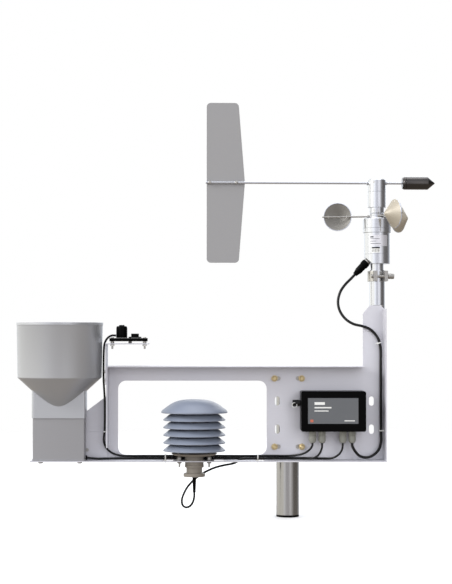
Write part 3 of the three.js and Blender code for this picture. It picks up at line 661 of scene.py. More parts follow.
SOLAR_ROUTE = [
    [-371.8, -61.5, 395.5], [-382, -61.5, 395.2], [-391, -61, 389], [-396.6, -60, 378],
    [-398.4, -59, 362], [-399, -57, 335], [-399, -55, 300], [-397, -53, 262], [-396.6, -52, 225],
    [-397, -51, 192], [-398.6, -50, 168], [-394, -49, 154], [-383, -46, 143], [-366, -42, 136.5],
    [-340, -39, 135], [-300, -38.4, 135], [-200, -38.4, 135], [-110, -38.4, 135], [-30, -38.4, 135],
    [0, -40, 135], [20, -48, 137.5], [36, -58, 143], [47.5, -65, 153], [50.9, -66, 160.5],
    [50.9, -66, 164.2],
]
PROBE_ROUTE = [
    [-203, -62, 58.3], [-203.3, -62, 48], [-206.5, -61, 36.5], [-213.5, -59.5, 28],
    [-222, -57.5, 26], [-228.6, -55, 31], [-229.8, -52.5, 42], [-226, -50, 54], [-219, -48, 67],
    [-210, -44, 78], [-199.5, -38, 87], [-188.5, -33, 95], [-174, -32, 102.5], [-158, -35, 109.5],
    [-138, -40, 115], [-122, -46, 118.4], [-113, -50.5, 122], [-106.5, -51, 127],
    [-98, -48.5, 130.1], [-80, -44.2, 130.1], [-40, -43.8, 130.1], [20, -44.2, 130.1],
    [42, -48, 130.1], [56, -56, 132.1], [66, -63, 141.1], [71, -66, 153.1], [71.7, -66, 164.2],
]


def between(first, last, start, end, at):
    return first * ((end - at) / (end - start)) + last * ((at - start) / (end - start))


def smooth_route(points, each=8):
    """Points along the centripetal curve through a route, in metres."""
    points = [Vector(point) * MM for point in points]
    points = [points[0] * 2 - points[1], *points, points[-1] * 2 - points[-2]]
    route = []
    for a, b, c, d in zip(points, points[1:], points[2:], points[3:]):
        times = [0.0]
        for first, last in ((a, b), (b, c), (c, d)):
            times.append(times[-1] + math.sqrt((last - first).length))
        for step in range(each):
            at = times[1] + (times[2] - times[1]) * step / each
            ab = between(a, b, times[0], times[1], at)
            bc = between(b, c, times[1], times[2], at)
            cd = between(c, d, times[2], times[3], at)
            abc = between(ab, bc, times[0], times[2], at)
            bcd = between(bc, cd, times[1], times[3], at)
            route.append(between(abc, bcd, times[1], times[2], at))
    route.append(points[-2])
    return route


def lead_piece(name, points, diameter, node):
    """A jacketed lead along its route."""
    route = smooth_route(points)
    curve = bpy.data.curves.new(name, "CURVE")
    curve.dimensions = "3D"
    spline = curve.splines.new("POLY")
    spline.points.add(len(route) - 1)
    for point, place in zip(spline.points, route):
        point.co = (*place, 1)
    curve.bevel_depth = diameter / 2
    curve.bevel_resolution = 4
    curve.use_fill_caps = True
    curve.materials.append(finish("lead_jacket"))
    piece = bpy.data.objects.new(name, curve)
    bpy.context.scene.collection.objects.link(piece)
    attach(piece, "station")
    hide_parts(node)


def plug_point(distance):
    return list(SOCKET + PLUG_WAY * distance)


class STATION_OT_leads(bpy.types.Operator):
    """Runs the four sensor leads to the logger"""

    bl_idname = "station.leads"
    bl_label = "Sensor leads"

    def execute(self, context):
        thin, thick = sizes().thin_lead, sizes().thick_lead
        wind = [plug_point(42.3), plug_point(54), *WIND_ROUTE]
        lead_piece("wind_sensor_lead", wind, thick, "wind_lead")
        lead_piece("rain_gauge_lead", RAIN_ROUTE, thin, "rain_lead")
        lead_piece("sun_sensor_lead", SOLAR_ROUTE, thin, "solar_lead")
        lead_piece("humidity_lead", PROBE_ROUTE, thin, "probe_lead")
        return {"FINISHED"}


def tie_band(bm, at, along, across, deep=None):
    """A flat strap round a lead or a bundle, with its square lock."""
    before = set(bm.verts)
    deep = across if deep is None else deep
    outline = [(1.0, -1.3), (1.0, 1.3), (1.18, 1.3), (1.18, -1.3)]
    turn_outline(bm, outline, Matrix.Diagonal((across, deep, 1, 1)), 32, closed=True)
    slab(bm, (across, -2, -2.1), (across + 3.2, 2, 2.1))
    rod(bm, (across + 2.8, 0, 0), (across + 7.5, 0, 0), 0.7, 8)
    bmesh.ops.transform(bm, matrix=facing(along, at), verts=newest(bm, before))


class STATION_OT_cable_ties(bpy.types.Operator):
    """Straps that hold the leads to the plate"""

    bl_idname = "station.cable_ties"
    bl_label = "Cable ties"

    def execute(self, context):
        bm = bmesh.new()
        tie_band(bm, (198, -45, 379.6), (0.25, 0, -1), 3.1)
        tie_band(bm, (200.4, -46, 190), (0, 0, 1), 3.1)
        tie_band(bm, (-397, -51, 188), (0, 0, 1), 2.5)
        tie_band(bm, (-66, -41, 132.4), (1, 0, 0), 5.6, 6.2)
        tie_band(bm, (-266, -38.4, 132.5), (1, 0, 0), 5.4, 2.9)
        finished(bm, "cable_ties", "tie_nylon", edge=0.0002)
        return {"FINISHED"}


# ---- Mast and clamps ----


class STATION_OT_mast(bpy.types.Operator):
    """The mast tube with its foot plug and top cap"""

    bl_idname = "station.mast"
    bl_label = "Mast"

    def execute(self, context):
        bm = bmesh.new()
        turn_outline(
            bm, [(22, 4.3), (24.6, 4.3), (25, 4.7), (25, 312), (22, 312)], steps=96, closed=True
        )
        finished(bm, "mast", "mast_steel", slot="mast_steel", instead_of=["mast_tube"])
        bm = bmesh.new()
        turn_outline(
            bm, [(0, 0), (24.2, 0), (25, 0.8), (25, 3.6), (24.6, 4), (21.7, 4), (21.7, 24), (0, 24)]
        )
        finished(
            bm, "mast_foot", "black_plastic", slot="black_plastic", instead_of=["mast_foot_plug"]
        )
        bm = bmesh.new()
        cap = [
            (0, 296), (21.7, 296), (21.7, 312.3), (25, 312.3), (24.8, 314.2), (23.5, 315.8),
            (21, 316), (0, 316),
        ]
        turn_outline(bm, cap)
        finished(bm, "mast_cap", "black_plastic", slot="black_plastic", instead_of=["mast_top_cap"])
        return {"FINISHED"}


def threaded_leg(bm, x, level, first, last):
    """A rod end cut with a rounded thread, lying along Y."""
    pitch = sizes().thread_pitch / MM
    turns = int((last - first) / pitch)
    outline = [(0, 0), (3.3, 0)]
    for turn in range(turns):
        outline += [(3.95, (turn + 0.45) * pitch), (3.45, (turn + 1) * pitch)]
    outline.append((0, turns * pitch))
    turn_outline(bm, outline, facing((0, 1, 0), (x, first, level)), 20)


def hex_nut(bm, centre, way, across, height):
    """A six-sided nut or bolt head with a slightly domed face."""
    start, end = Vector(centre), Vector(centre) + Vector(way).normalized() * height
    rod(bm, start, end, across / math.sqrt(3), 6)
    top = Vector(way).normalized() * 0.35
    rod(bm, end, end + top, across * 0.47, 24, across * 0.42)


class STATION_OT_clamps(bpy.types.Operator):
    """The two U-bolts round the mast, their nuts and the saddles"""

    bl_idname = "station.clamps"
    bl_label = "Mast clamps"

    def execute(self, context):
        for word, level in (("upper", 302.4), ("lower", 154.4)):
            bm = bmesh.new()
            circle = bmesh.ops.create_circle(
                bm, segments=20, radius=4, matrix=facing((0, 1, 0), (CLAMP_REACH, 0, level))
            )
            loop = circle["verts"]
            rim = list({edge for point in loop for edge in point.link_edges})
            bmesh.ops.spin(
                bm, geom=loop + rim, cent=(0, 0, level), axis=(0, 0, 1),
                angle=math.pi, steps=40, use_merge=False,
            )
            bmesh.ops.holes_fill(bm, edges=[edge for edge in bm.edges if edge.is_boundary], sides=0)
            for x in (-CLAMP_REACH, CLAMP_REACH):
                rod(bm, (x, -24, level), (x, 0.4, level), 4, 20)
                threaded_leg(bm, x, level, -50, -22)
                rod(bm, (x, -37.2, level), (x, -35.8, level), 6.9, 32)
                hex_nut(bm, (x, -37.1, level), (0, -1, 0), 11.6, 6.4)
            finished(
                bm,
                f"clamp_bolt_{word}",
                "yellow_zinc",
                slot="yellow_zinc",
                instead_of=[f"u_bolt_{word}"],
                sharp=30,
            )
            carried(
                f"mast_saddle_{word}", f"saddle_{word}", "bright_steel", "dark_steel",
                edge=sizes().edge,
            )
        return {"FINISHED"}


# ---- Plate ----


class STATION_OT_plate(bpy.types.Operator):
    """The folded plate, the gauge's bracket at its left end, and their fasteners"""

    bl_idname = "station.plate"
    bl_label = "Folded plate"

    def execute(self, context):
        carried("back_plate", "folded_plate", "satin_sheet", "sheet", edge=sizes().edge)
        carried("gauge_bracket", "gauge_shelf", "satin_sheet", "sheet", edge=sizes().edge)
        bm = bmesh.new()
        hex_nut(bm, (-435.7, -38.2, 148), (0, -1, 0), 7, 2.6)
        for x in (-532.9, -448.9):
            hex_nut(bm, (x, -61.5, 124.8), (0, 0, -1), 8, 3)
            hex_nut(bm, (x, -75, 124.8), (0, 0, -1), 8, 3)
        for x in (-235, -171):
            rod(bm, (x, -62, 124.8), (x, -62, 123.6), 6, 24)
            hex_nut(bm, (x, -62, 123.7), (0, 0, -1), 7, 2.6)
        for x in (34, 152):
            for z in (208, 262):
                hex_nut(bm, (x, -32.8, z), (0, 1, 0), 7, 2.6)
        finished(bm, "plate_fasteners", "bright_steel", slot="dark_steel", sharp=30)
        return {"FINISHED"}


# ---- Wind post ----


class STATION_OT_wind_post(bpy.types.Operator):
    """The welded post, its collar clamp and clamp bolt"""

    bl_idname = "station.wind_post"
    bl_label = "Wind post"

    def execute(self, context):
        post = moved(*POST)
        bm = bmesh.new()
        turn_outline(
            bm, [(14.85, 280), (16.85, 280), (16.85, 538), (14.85, 538)], post, 96, closed=True
        )
        finished(bm, "post", "drawn_tube", slot="anodised", instead_of=["wind_tube"])
        bm = bmesh.new()
        for side in (-1, 1):
            for bead in range(22):
                place = moved(POST[0] + side * 7.6, -31.6, 282 + bead * 8.0)
                bmesh.ops.create_uvsphere(
                    bm, u_segments=12, v_segments=8, radius=1, matrix=place @ Matrix.Diagonal(
                        (2.6, 1.4, 5.4, 1)
                    )
                )
        for bead in range(6):
            place = moved(POST[0] - 9 + bead * 3.6, -32.2, 460.2)
            bmesh.ops.create_uvsphere(
                bm, u_segments=12, v_segments=8, radius=1, matrix=place @ Matrix.Diagonal(
                    (2.7, 1.6, 1.7, 1)
                )
            )
        finished(bm, "post_weld", "bright_steel", slot="dark_steel")
        carried("collar_clamp", "collar", "bright_steel", "dark_steel", edge=0.0003, sharp=30)
        bm = bmesh.new()
        rod(bm, (-13, -27, 524), (23, -27, 524), 3, 24)
        hex_nut(bm, (-10.8, -27, 524), (-1, 0, 0), 9, 3.8)
        knob = [(0, 0), (5.2, 0), (5.8, 0.6), (5.8, 12), (5.0, 13.2), (0, 13.2)]
        turn_outline(bm, knob, facing((1, 0, 0), (21.3, -27, 524)), 48)
        ribs(bm, 18, (5.4, -0.45, 1.2), (6.0, 0.45, 11.6), facing((1, 0, 0), (21.3, -27, 524)))
        bmesh.ops.translate(bm, verts=bm.verts, vec=(*POST, 0))
        finished(
            bm, "collar_bolt", "bright_steel", slot="dark_steel", instead_of=["clamp_bolt"],
            sharp=30,
        )
        return {"FINISHED"}


# ---- Wind sensor ----


class STATION_OT_wind_sensor(bpy.types.Operator):
    """The sensor's drum and cover, with the cover's screws and the spindle"""

    bl_idname = "station.wind_sensor"
    bl_label = "Wind sensor"

    def execute(self, context):
        post = moved(*POST)
        bm = bmesh.new()
        drum = [
            (0, 552), (27.6, 552), (28.1, 552.5), (28.1, 573), (27.8, 573.3), (28.1, 573.6),
            (28.1, 619.7), (0, 619.7),
        ]
        turn_outline(bm, drum, steps=96)
        bmesh.ops.remove_doubles(bm, verts=bm.verts, dist=0.002)
        cut = bmesh.ops.bisect_plane(
            bm,
            geom=bm.verts[:] + bm.edges[:] + bm.faces[:],
            plane_co=(-19.4, 0, 559),
            plane_no=PLUG_WAY,
            clear_outer=True,
        )
        rim = [item for item in cut["geom_cut"] if isinstance(item, bmesh.types.BMEdge)]
        bmesh.ops.edgeloop_fill(bm, edges=rim)
        turn_outline(bm, [(0, 506), (13.9, 506), (14.4, 506.5), (14.4, 552.4), (0, 552.4)], steps=64)
        bmesh.ops.translate(bm, verts=bm.verts, vec=(*POST, 0))
        finished(
            bm, "sensor_drum", "turned_aluminium", slot="anodised", instead_of=["sensor_body"],
            sharp=25,
        )

        bm = bmesh.new()
        cover = [
            (27.5, 620), (30.1, 620), (30.5, 620.4), (30.5, 629.4), (30.1, 629.8), (30.5, 630.2),
            (30.5, 650.2), (29.3, 651.4), (8.3, 651.4), (8.3, 647.4), (27.5, 647.4),
        ]
        turn_outline(bm, cover, post, 96, closed=True)
        finished(
            bm, "sensor_cover", "turned_aluminium", slot="anodised", instead_of=["sensor_collar"],
            sharp=25,
        )
        bm = bmesh.new()
        for degrees in (40, 160, 280):
            way = Matrix.Rotation(math.radians(degrees), 4, "Z")
            head = post @ way @ facing((1, 0, 0), (30.3, 0, 625))
            turn_outline(
                bm, [(0, 0), (1.9, 0), (1.9, 0.5), (1.0, 0.6), (1.0, 0.1), (0, 0.1)], head, 24
            )
        finished(bm, "cover_screws", "bright_steel", slot="dark_steel", sharp=30)
        dressed("spindle", "bright_steel")
        dressed("spindle_bearing", "bright_steel")
        return {"FINISHED"}


def wrapped_patch(bm, radius, low, high, first, last, thickness=0.12):
    """A patch bent round the post's line, between two angles from the front."""
    outline = [(radius, low), (radius + thickness, low), (radius + thickness, high), (radius, high)]
    start = math.radians(first - 90)
    place = moved(*POST) @ Matrix.Rotation(start, 4, "Z")
    steps = max(2, int((last - first) / 4))
    turn_outline(bm, outline, place, steps, closed=True, sweep=math.radians(last - first))


class STATION_OT_sensor_labels(bpy.types.Operator):
    """Plain labels on the wind sensor, with marks and no wording"""

    bl_idname = "station.sensor_labels"
    bl_label = "Sensor labels"

    def execute(self, context):
        bm = bmesh.new()
        wrapped_patch(bm, 28.12, 590, 614, -42, 46)
        finished(bm, "sensor_label", "sensor_label", sharp=30)
        bm = bmesh.new()
        for row, (first, last) in enumerate([(-36, -20), (-36, 6), (-36, -8), (-36, 12)]):
            high = 611.5 - row * 5.2
            wrapped_patch(bm, 28.2, high - (3.2 if row == 0 else 1.2), high, first, last, 0.1)
        finished(bm, "sensor_label_marks", "label_grey", sharp=30)
        bm = bmesh.new()
        wrapped_patch(bm, 28.12, 575.6, 587.4, -28, 8)
        finished(bm, "sensor_code", "label_white", sharp=30)
        bm = bmesh.new()
        wrapped_patch(bm, 28.22, 584.6, 587.4, -28, 8, 0.1)
        for bar in range(8):
            first = -25 + bar * 4.1
            wrapped_patch(bm, 28.22, 577, 583, first, first + (1.0 if bar % 3 else 1.8), 0.1)
        finished(bm, "sensor_code_bars", "black_plastic", sharp=30)
        return {"FINISHED"}


class STATION_OT_wind_plug(bpy.types.Operator):
    """The ribbed plug on the wind sensor's lead"""

    bl_idname = "station.wind_plug"
    bl_label = "Wind plug"

    def execute(self, context):
        bm = bmesh.new()
        place = facing(PLUG_WAY, SOCKET)
        body = [
            (0, 0.3), (7, 0.3), (7, 4), (9.0, 5.5), (9.0, 15), (8.2, 16), (7.8, 31), (7.0, 33.5),
            (6.4, 34), (6.6, 35.6), (5.8, 36.4), (6.0, 38), (5.3, 38.8), (5.2, 42), (0, 42),
        ]
        turn_outline(bm, body, place, 48)
        ribs(bm, 16, (8.6, -0.7, 6), (9.2, 0.7, 14.4), place)
        finished(
            bm, "plug", "black_plastic", slot="black_plastic", instead_of=["wind_plug"], sharp=30
        )
        bm = bmesh.new()
        turn_outline(
            bm, [(7.05, 1), (8.2, 1), (8.4, 1.3), (8.4, 4.0), (7.05, 4.0)], place, 48, closed=True
        )
        finished(bm, "plug_ring", "bright_steel", slot="dark_steel", sharp=30)
        return {"FINISHED"}


# ---- Cups and vane ----

CUP_SHELL = [
    (0, -25), (2.0, -24.8), (3.4, -24.2), (16.5, -13.2), (29.4, -2.4), (30.4, -1.8), (31.0, -1.2),
    (31.0, 0.6), (30.5, 1.2), (29.8, 1.2), (29.4, 0.6), (29.2, -0.9), (16.0, -12.0), (3.0, -22.9),
    (0, -23.5),
]


class STATION_OT_cups(bpy.types.Operator):
    """The three cups on their rods and the hub that carries them"""

    bl_idname = "station.cups"
    bl_label = "Wind cups"

    def execute(self, context):
        centre = moved(*POST, CUP_LEVEL)
        for number in (1, 2, 3):
            arm = centre @ Matrix.Rotation(math.radians(CUP_TURN + 120 * (number - 1)), 4, "Z")
            mouth = arm @ moved(CUP_REACH)
            opening = (arm.to_3x3() @ Vector((0, 1, 0))).normalized()
            middle = mouth.translation
            bm = bmesh.new()
            turn_outline(bm, CUP_SHELL, mouth @ facing((0, 1, 0)), 64)
            bmesh.ops.remove_doubles(bm, verts=bm.verts, dist=0.002)
            bmesh.ops.recalc_face_normals(bm, faces=bm.faces)
            # Faces inside the mouth take the painted-shade colour, and faces at the lip take the
            # painted sky highlight.
            for face in bm.faces:
                offset = face.calc_center_median() - middle
                outward = (offset - opening * offset.dot(opening)).length
                if face.normal.dot(opening) > 0.1 and outward < 29.3:
                    face.material_index = 1
                elif offset.dot(opening) > -1.5:
                    face.material_index = 2
            finished(
                bm,
                f"cup_{number}",
                ["cup_paint", "cup_inside_shade", "cup_rim_sheen"],
                body="cup_rotor",
                slot="cup_shell",
                instead_of=[f"cup_arm_{number}"],
                keep=True,
            )
            bm = bmesh.new()
            rod(bm, (16.3, 0, 0), (119.2, 0, 0), 2, 20)
            turn_outline(
                bm, [(2, 0), (3.4, 0), (3.4, 4), (2, 4.6)], facing((1, 0, 0), (16.2, 0, 0)), 24,
                closed=True,
            )
            for side in (-1, 1):
                rod(
                    bm, (CUP_REACH + side * 20, 0.2, -3.2), (CUP_REACH + side * 20, 0.2, 3.2), 1.5,
                    16,
                )
            bmesh.ops.transform(bm, matrix=arm, verts=bm.verts)
            finished(
                bm, f"cup_rod_{number}", "bright_steel", body="cup_rotor", slot="dark_steel",
                sharp=30,
            )
        bm = bmesh.new()
        hub = [
            (8.3, -4.3), (15.6, -4.3), (16, -3.9), (16, 1.4), (15.6, 1.8), (16, 2.2), (16, 5.6),
            (15.6, 6), (8.3, 6),
        ]
        turn_outline(bm, hub, centre, 72, closed=True)
        for number in range(3):
            way = centre @ Matrix.Rotation(math.radians(CUP_TURN + 60 + 120 * number), 4, "Z")
            rod(bm, way @ Vector((15, 0, 0.4)), way @ Vector((16.35, 0, 0.4)), 1.6, 16)
        finished(
            bm, "rotor_hub", "turned_aluminium", body="cup_rotor", slot="anodised",
            instead_of=["cup_hub"], sharp=25,
        )
        return {"FINISHED"}


class STATION_OT_vane(bpy.types.Operator):
    """The vane's hub, shaft, tail sheet and counterweight"""

    bl_idname = "station.vane"
    bl_label = "Wind vane"

    def execute(self, context):
        base = moved(*POST) @ Matrix.Rotation(VANE_TURN, 4, "Z")
        along = base @ facing((1, 0, 0), (0, 0, SHAFT_LEVEL))
        bm = bmesh.new()
        hub = [
            (8.3, 663), (15.7, 663), (16, 663.3), (16, 675.3), (19.4, 675.3), (19.8, 675.7),
            (19.8, 709.5), (19.4, 709.9), (19.8, 710.3), (19.8, 735.5), (18.3, 737), (0, 737),
            (0, 699.8), (8.3, 699.8),
        ]
        turn_outline(bm, hub, base, 96, closed=True)
        finished(
            bm, "vane_cap", "turned_aluminium", body="vane", slot="anodised",
            instead_of=["vane_hub"], sharp=25,
        )
        bm = bmesh.new()
        for angle, level in ((-116, 730), (-116, 668), (64, 730)):
            place = base @ Matrix.Rotation(math.radians(angle), 4, "Z")
            radius = 15.6 if level < 675 else 19.4
            seat = place @ facing((1, 0, 0), (radius, 0, level))
            turn_outline(
                bm, [(0, 0), (2.2, 0), (2.2, 0.5), (1.2, 0.5), (1.2, 0.1), (0, 0.1)], seat, 24
            )
        finished(bm, "vane_set_screws", "bright_steel", body="vane", slot="dark_steel", sharp=30)

        bm = bmesh.new()
        shaft = [(0, -375), (2.2, -375), (2.75, -374.4), (2.75, 56), (0, 56)]
        turn_outline(bm, shaft, along, 32)
        for side in (-1, 1):
            collar = [(2.7, 0), (4.4, 0), (4.4, 2.4), (2.7, 3.2)]
            seat = base @ facing((side, 0, 0), (side * 19.7, 0, SHAFT_LEVEL))
            turn_outline(bm, collar, seat, 32, closed=True)
        finished(
            bm, "vane_rod", "turned_aluminium",
            body="vane", slot="anodised", instead_of=["vane_shaft"], sharp=30,
        )

        carried("tail_fin", "tail", "tail_sheet", "fin_sheet", body="vane", edge=0.0003)
        bm = bmesh.new()
        for x in (-366, -308):
            head = base @ facing((0, -1, 0), (x, -2.3, SHAFT_LEVEL))
            turn_outline(bm, [(0, 0), (3.6, 0), (3.4, 1.2), (2.4, 2.1), (0, 2.4)], head, 28)
            hex_nut(
                bm, base @ Vector((x, 4.4, SHAFT_LEVEL)), base.to_3x3() @ Vector((0, 1, 0)), 5.5,
                2.2,
            )
        finished(bm, "tail_screws", "bright_steel", body="vane", slot="dark_steel", sharp=30)

        bm = bmesh.new()
        weight = [
            (0, 56.3), (11.8, 56.3), (12.5, 57), (13.2, 59), (14, 59.8), (14, 63.5), (13.5, 64),
            (14, 64.5), (14, 111.6), (13.6, 112.6), (1.2, 127.4), (0.6, 128), (0, 128),
        ]
        turn_outline(bm, weight, along, 72)
        finished(
            bm, "nose_weight", "weight_steel",
            body="vane", slot="dark_steel", instead_of=["counterweight"], sharp=25,
        )
        return {"FINISHED"}


# ---- Rain gauge ----


class STATION_OT_rain_gauge(bpy.types.Operator):
    """The gauge's funnel, outer case, base and screen"""

    bl_idname = "station.rain_gauge"
    bl_label = "Rain gauge"

    def execute(self, context):
        place = moved(*GAUGE)
        bm = bmesh.new()
        funnel = [
            (6, 222), (6, 228.3), (7, 229.2), (89.4, 304.4), (90.1, 305.3), (90.3, 306.4),
            (92.3, 416.8), (92.6, 417.6), (93.2, 418.2), (93.2, 423), (92.8, 423.5), (92.0, 423.5),
            (91.6, 423), (88.7, 306.6), (88.3, 305.6), (5.4, 229.8), (4, 228.2), (4, 222),
        ]
        turn_outline(bm, funnel, place, 128, closed=True)
        joined(bm, case_walls())
        finished(
            bm, "funnel_case", "gauge_paint", body="funnel", slot="anodised",
            instead_of=["gauge_funnel"], sharp=28,
        )

        bm = bmesh.new()
        level = CONE_LEVEL - CONE_SLOPE * (CONE_RIM - 12) + 3.6
        ring(bm, 11.3, 0.6, moved(*GAUGE, level + 0.6), 40, 8)
        for wire in range(-7, 8):
            reach = math.sqrt(11.3**2 - (wire * 1.4) ** 2)
            for turn in (0, 90):
                line = moved(*GAUGE, level + 0.6) @ Matrix.Rotation(math.radians(turn), 4, "Z")
                rod(
                    bm, line @ Vector((-reach, wire * 1.4, 0)),
                    line @ Vector((reach, wire * 1.4, 0)), 0.25, 6,
                )
        finished(
            bm, "leaf_screen", "bright_steel", body="funnel", slot="dark_steel",
            instead_of=["debris_screen"],
        )

        # The tray takes the darker copy of the gauge paint, which is painted shade.
        carried("gauge_base", "gauge_tray", "case_paint", "sheet", edge=0.0003)
        bm = bmesh.new()
        for side in (-1, 1):
            head = facing((side, 0, 0), (GAUGE[0] + side * 54.6, GAUGE[1], 207))
            turn_outline(bm, [(0, 0), (2.6, 0), (2.4, 1.2), (1.4, 1.9), (0, 2)], head, 24)
        finished(bm, "case_screws", "bright_steel", slot="dark_steel", sharp=30)
        bm = bmesh.new()
        outline = [(2.35, 0), (5, 0), (5.2, 0.5), (4.6, 2.4), (3.2, 3.2), (2.35, 3.2)]
        turn_outline(bm, outline, facing((1, 0.02, 0.02), (-436.4, -58, 132.5)), 28, closed=True)
        finished(bm, "lead_grommet", "black_plastic", slot="black_plastic")
        return {"FINISHED"}


def case_walls():
    """The square case under the cone, its walls run up into the cone's slope."""
    bm = bmesh.new()
    bmesh.ops.create_cube(bm, size=1, matrix=Matrix.Diagonal((115, 46, 80, 1)) @ moved(0, 0, 0.5))
    ends = [face for face in bm.faces if abs(face.normal.z) > 0.9]
    bmesh.ops.delete(bm, geom=ends, context="FACES_ONLY")
    corners = [line for line in bm.edges if abs(line.verts[0].co.z - line.verts[1].co.z) > 1]
    bmesh.ops.bevel(
        bm, geom=corners, offset=4, offset_type="OFFSET",
        segments=5, profile=0.5, affect="EDGES", material=-1,
    )
    level = [line for line in bm.edges if abs(line.verts[0].co.z - line.verts[1].co.z) < 0.01]
    level = [line for line in level if line.calc_length() > 10]
    bmesh.ops.subdivide_edges(bm, edges=level, cuts=23)
    for point in bm.verts:
        reach = math.hypot(point.co.x, point.co.y)
        point.co.z = 218.5 if point.co.z < 40 else CONE_LEVEL - CONE_SLOPE * (CONE_RIM - reach) + 0.5
    bmesh.ops.recalc_face_normals(bm, faces=bm.faces)
    bmesh.ops.solidify(bm, geom=bm.faces[:], thickness=1.4)
    bmesh.ops.translate(bm, verts=bm.verts, vec=(*GAUGE, 0))
    return bm


def joined(bm, other):
    """Adds another drawing to this one."""
    mesh = bpy.data.meshes.new("drawing")
    other.to_mesh(mesh)
    other.free()
    bm.from_mesh(mesh)
    bpy.data.meshes.remove(mesh)


class STATION_OT_tipping_bucket(bpy.types.Operator):
    """The bucket inside the gauge, with its frame, axle and switch"""

    bl_idname = "station.tipping_bucket"
    bl_label = "Tipping bucket"

    def execute(self, context):
        carried(
            "tipping_bucket", "rain_bucket", "gland_plastic", "grey_plastic", body="bucket",
            edge=0.0002,
        )
        carried("bucket_frame", "bucket_stand", "bright_steel", "dark_steel", edge=0.0002)
        dressed("bucket_axle", "bright_steel")
        dressed("reed_switch", "board_green")
        return {"FINISHED"}


# ---- Sunlight sensor ----


class STATION_OT_sun_sensor(bpy.types.Operator):
    """The sunlight sensor on its levelled plate and bracket"""

    bl_idname = "station.sun_sensor"
    bl_label = "Sunlight sensor"

    def execute(self, context):
        carried("solar_bracket", "sun_bracket", "satin_sheet", "sheet", edge=0.0003)
        carried(
            "levelling_plate", "levelled_plate", "black_plastic", "black_plastic", edge=0.0004,
            sharp=40,
        )
        x, y = SOLAR
        for number, (dx, dy) in enumerate(((-34.6, -20), (34.6, -20), (0, 38)), 1):
            bm = bmesh.new()
            place = moved(x + dx, y + dy)
            tip = 376.5 if number == 3 else 366.7
            outline = [
                (0, tip), (1.6, tip), (2, tip + 0.5), (2, 378.8), (3.7, 378.8), (3.9, 379.1),
                (3.9, 382.4), (3.7, 382.7), (2, 382.7), (2, 390.3), (3.6, 390.3), (3.4, 391.7),
                (2.6, 392), (0.9, 392), (0.9, 391), (0, 391),
            ]
            turn_outline(bm, outline, place, 32)
            ribs(bm, 12, (3.6, -0.35, 379.3), (4.0, 0.35, 382.2), place)
            finished(
                bm,
                f"levelling_foot_{number}",
                "bright_steel",
                body=f"screw_{number}",
                slot="dark_steel",
                instead_of=[f"levelling_screw_{number}"],
                sharp=30,
            )
        bm = bmesh.new()
        for dx, dy in ((-34.6, -20), (34.6, -20)):
            turn_outline(
                bm, [(2.3, 373), (4.6, 373), (4.6, 376.3), (2.3, 376.3)],
                moved(x + dx, y + dy), 6, closed=True,
            )
        finished(bm, "levelling_nuts", "label_white", sharp=30, edge=0.0002)

        bm = bmesh.new()
        eye = [
            (0, 390.3), (12, 390.3), (12, 394.5), (11.6, 394.9), (12, 395.3), (12, 411),
            (11.2, 414.4), (10, 415.6), (9.6, 415.2), (6.2, 415.4), (6.0, 416.0), (5.6, 418.1),
            (0, 418.2),
        ]
        turn_outline(bm, eye, moved(SUN_EYE, y), 64)
        finished(
            bm, "sun_eye", "black_plastic", slot="black_plastic", instead_of=["solar_sensor"],
            sharp=28,
        )
        bm = bmesh.new()
        turn_outline(
            bm, [(0, 418.15), (4.9, 418.15), (4.4, 418.5), (0, 418.6)], moved(SUN_EYE, y), 48
        )
        finished(bm, "sun_diffuser", "label_white")
        bm = bmesh.new()
        vial = [
            (0, 390.3), (13.6, 390.3), (14, 390.7), (14, 392.5), (13.6, 392.8), (8.4, 393.2),
            (8.4, 399.2), (8, 399.6), (6.6, 399.6), (6.4, 398.8), (0, 398.8),
        ]
        turn_outline(bm, vial, moved(VIAL, y), 56)
        finished(
            bm, "level_vial", "black_plastic", slot="black_plastic", instead_of=["bubble_level"],
            sharp=28,
        )
        bm = bmesh.new()
        turn_outline(
            bm, [(0, 398.7), (6.3, 398.7), (6.3, 399.1), (4, 399.5), (0, 399.58)], moved(VIAL, y),
            48,
        )
        finished(bm, "level_window", "level_fluid")
        bm = bmesh.new()
        ring(bm, 2.6, 0.12, moved(VIAL, y, 399.5), 32, 6)
        finished(bm, "level_mark", "black_plastic")
        bm = bmesh.new()
        for z in (300, 318):
            for place_y in (-77, -50):
                hex_nut(bm, (-393.1, place_y, z), (-1, 0, 0), 7, 2.6)
        finished(bm, "bracket_nuts", "bright_steel", slot="dark_steel", sharp=30)
        return {"FINISHED"}


# ---- Screened humidity probe ----

DOME = [
    (69.6, 229.3), (71.0, 229.3), (71.4, 229.7), (71.3, 231.9), (69.2, 234.8), (65.6, 237.7),
    (61.5, 240.5), (57.2, 243.8), (52.4, 247.1), (47.2, 250.2), (41.4, 252.8), (35.6, 254.8),
    (29, 256.4), (20, 257.5), (10, 258.1), (0, 258.3), (0, 256.1), (28.4, 254.2), (40.4, 250.8),
    (51.2, 245.3), (60.2, 238.4), (69.4, 231),
]
LOUVRE = [
    (65.5, 0.3), (66.1, 0), (66.8, 0.4), (66.8, 1.9), (66, 2.9), (60.2, 7.5), (54.2, 12.3),
    (52.8, 13), (30, 13), (30, 11), (51.9, 11), (52.7, 10.6),
]


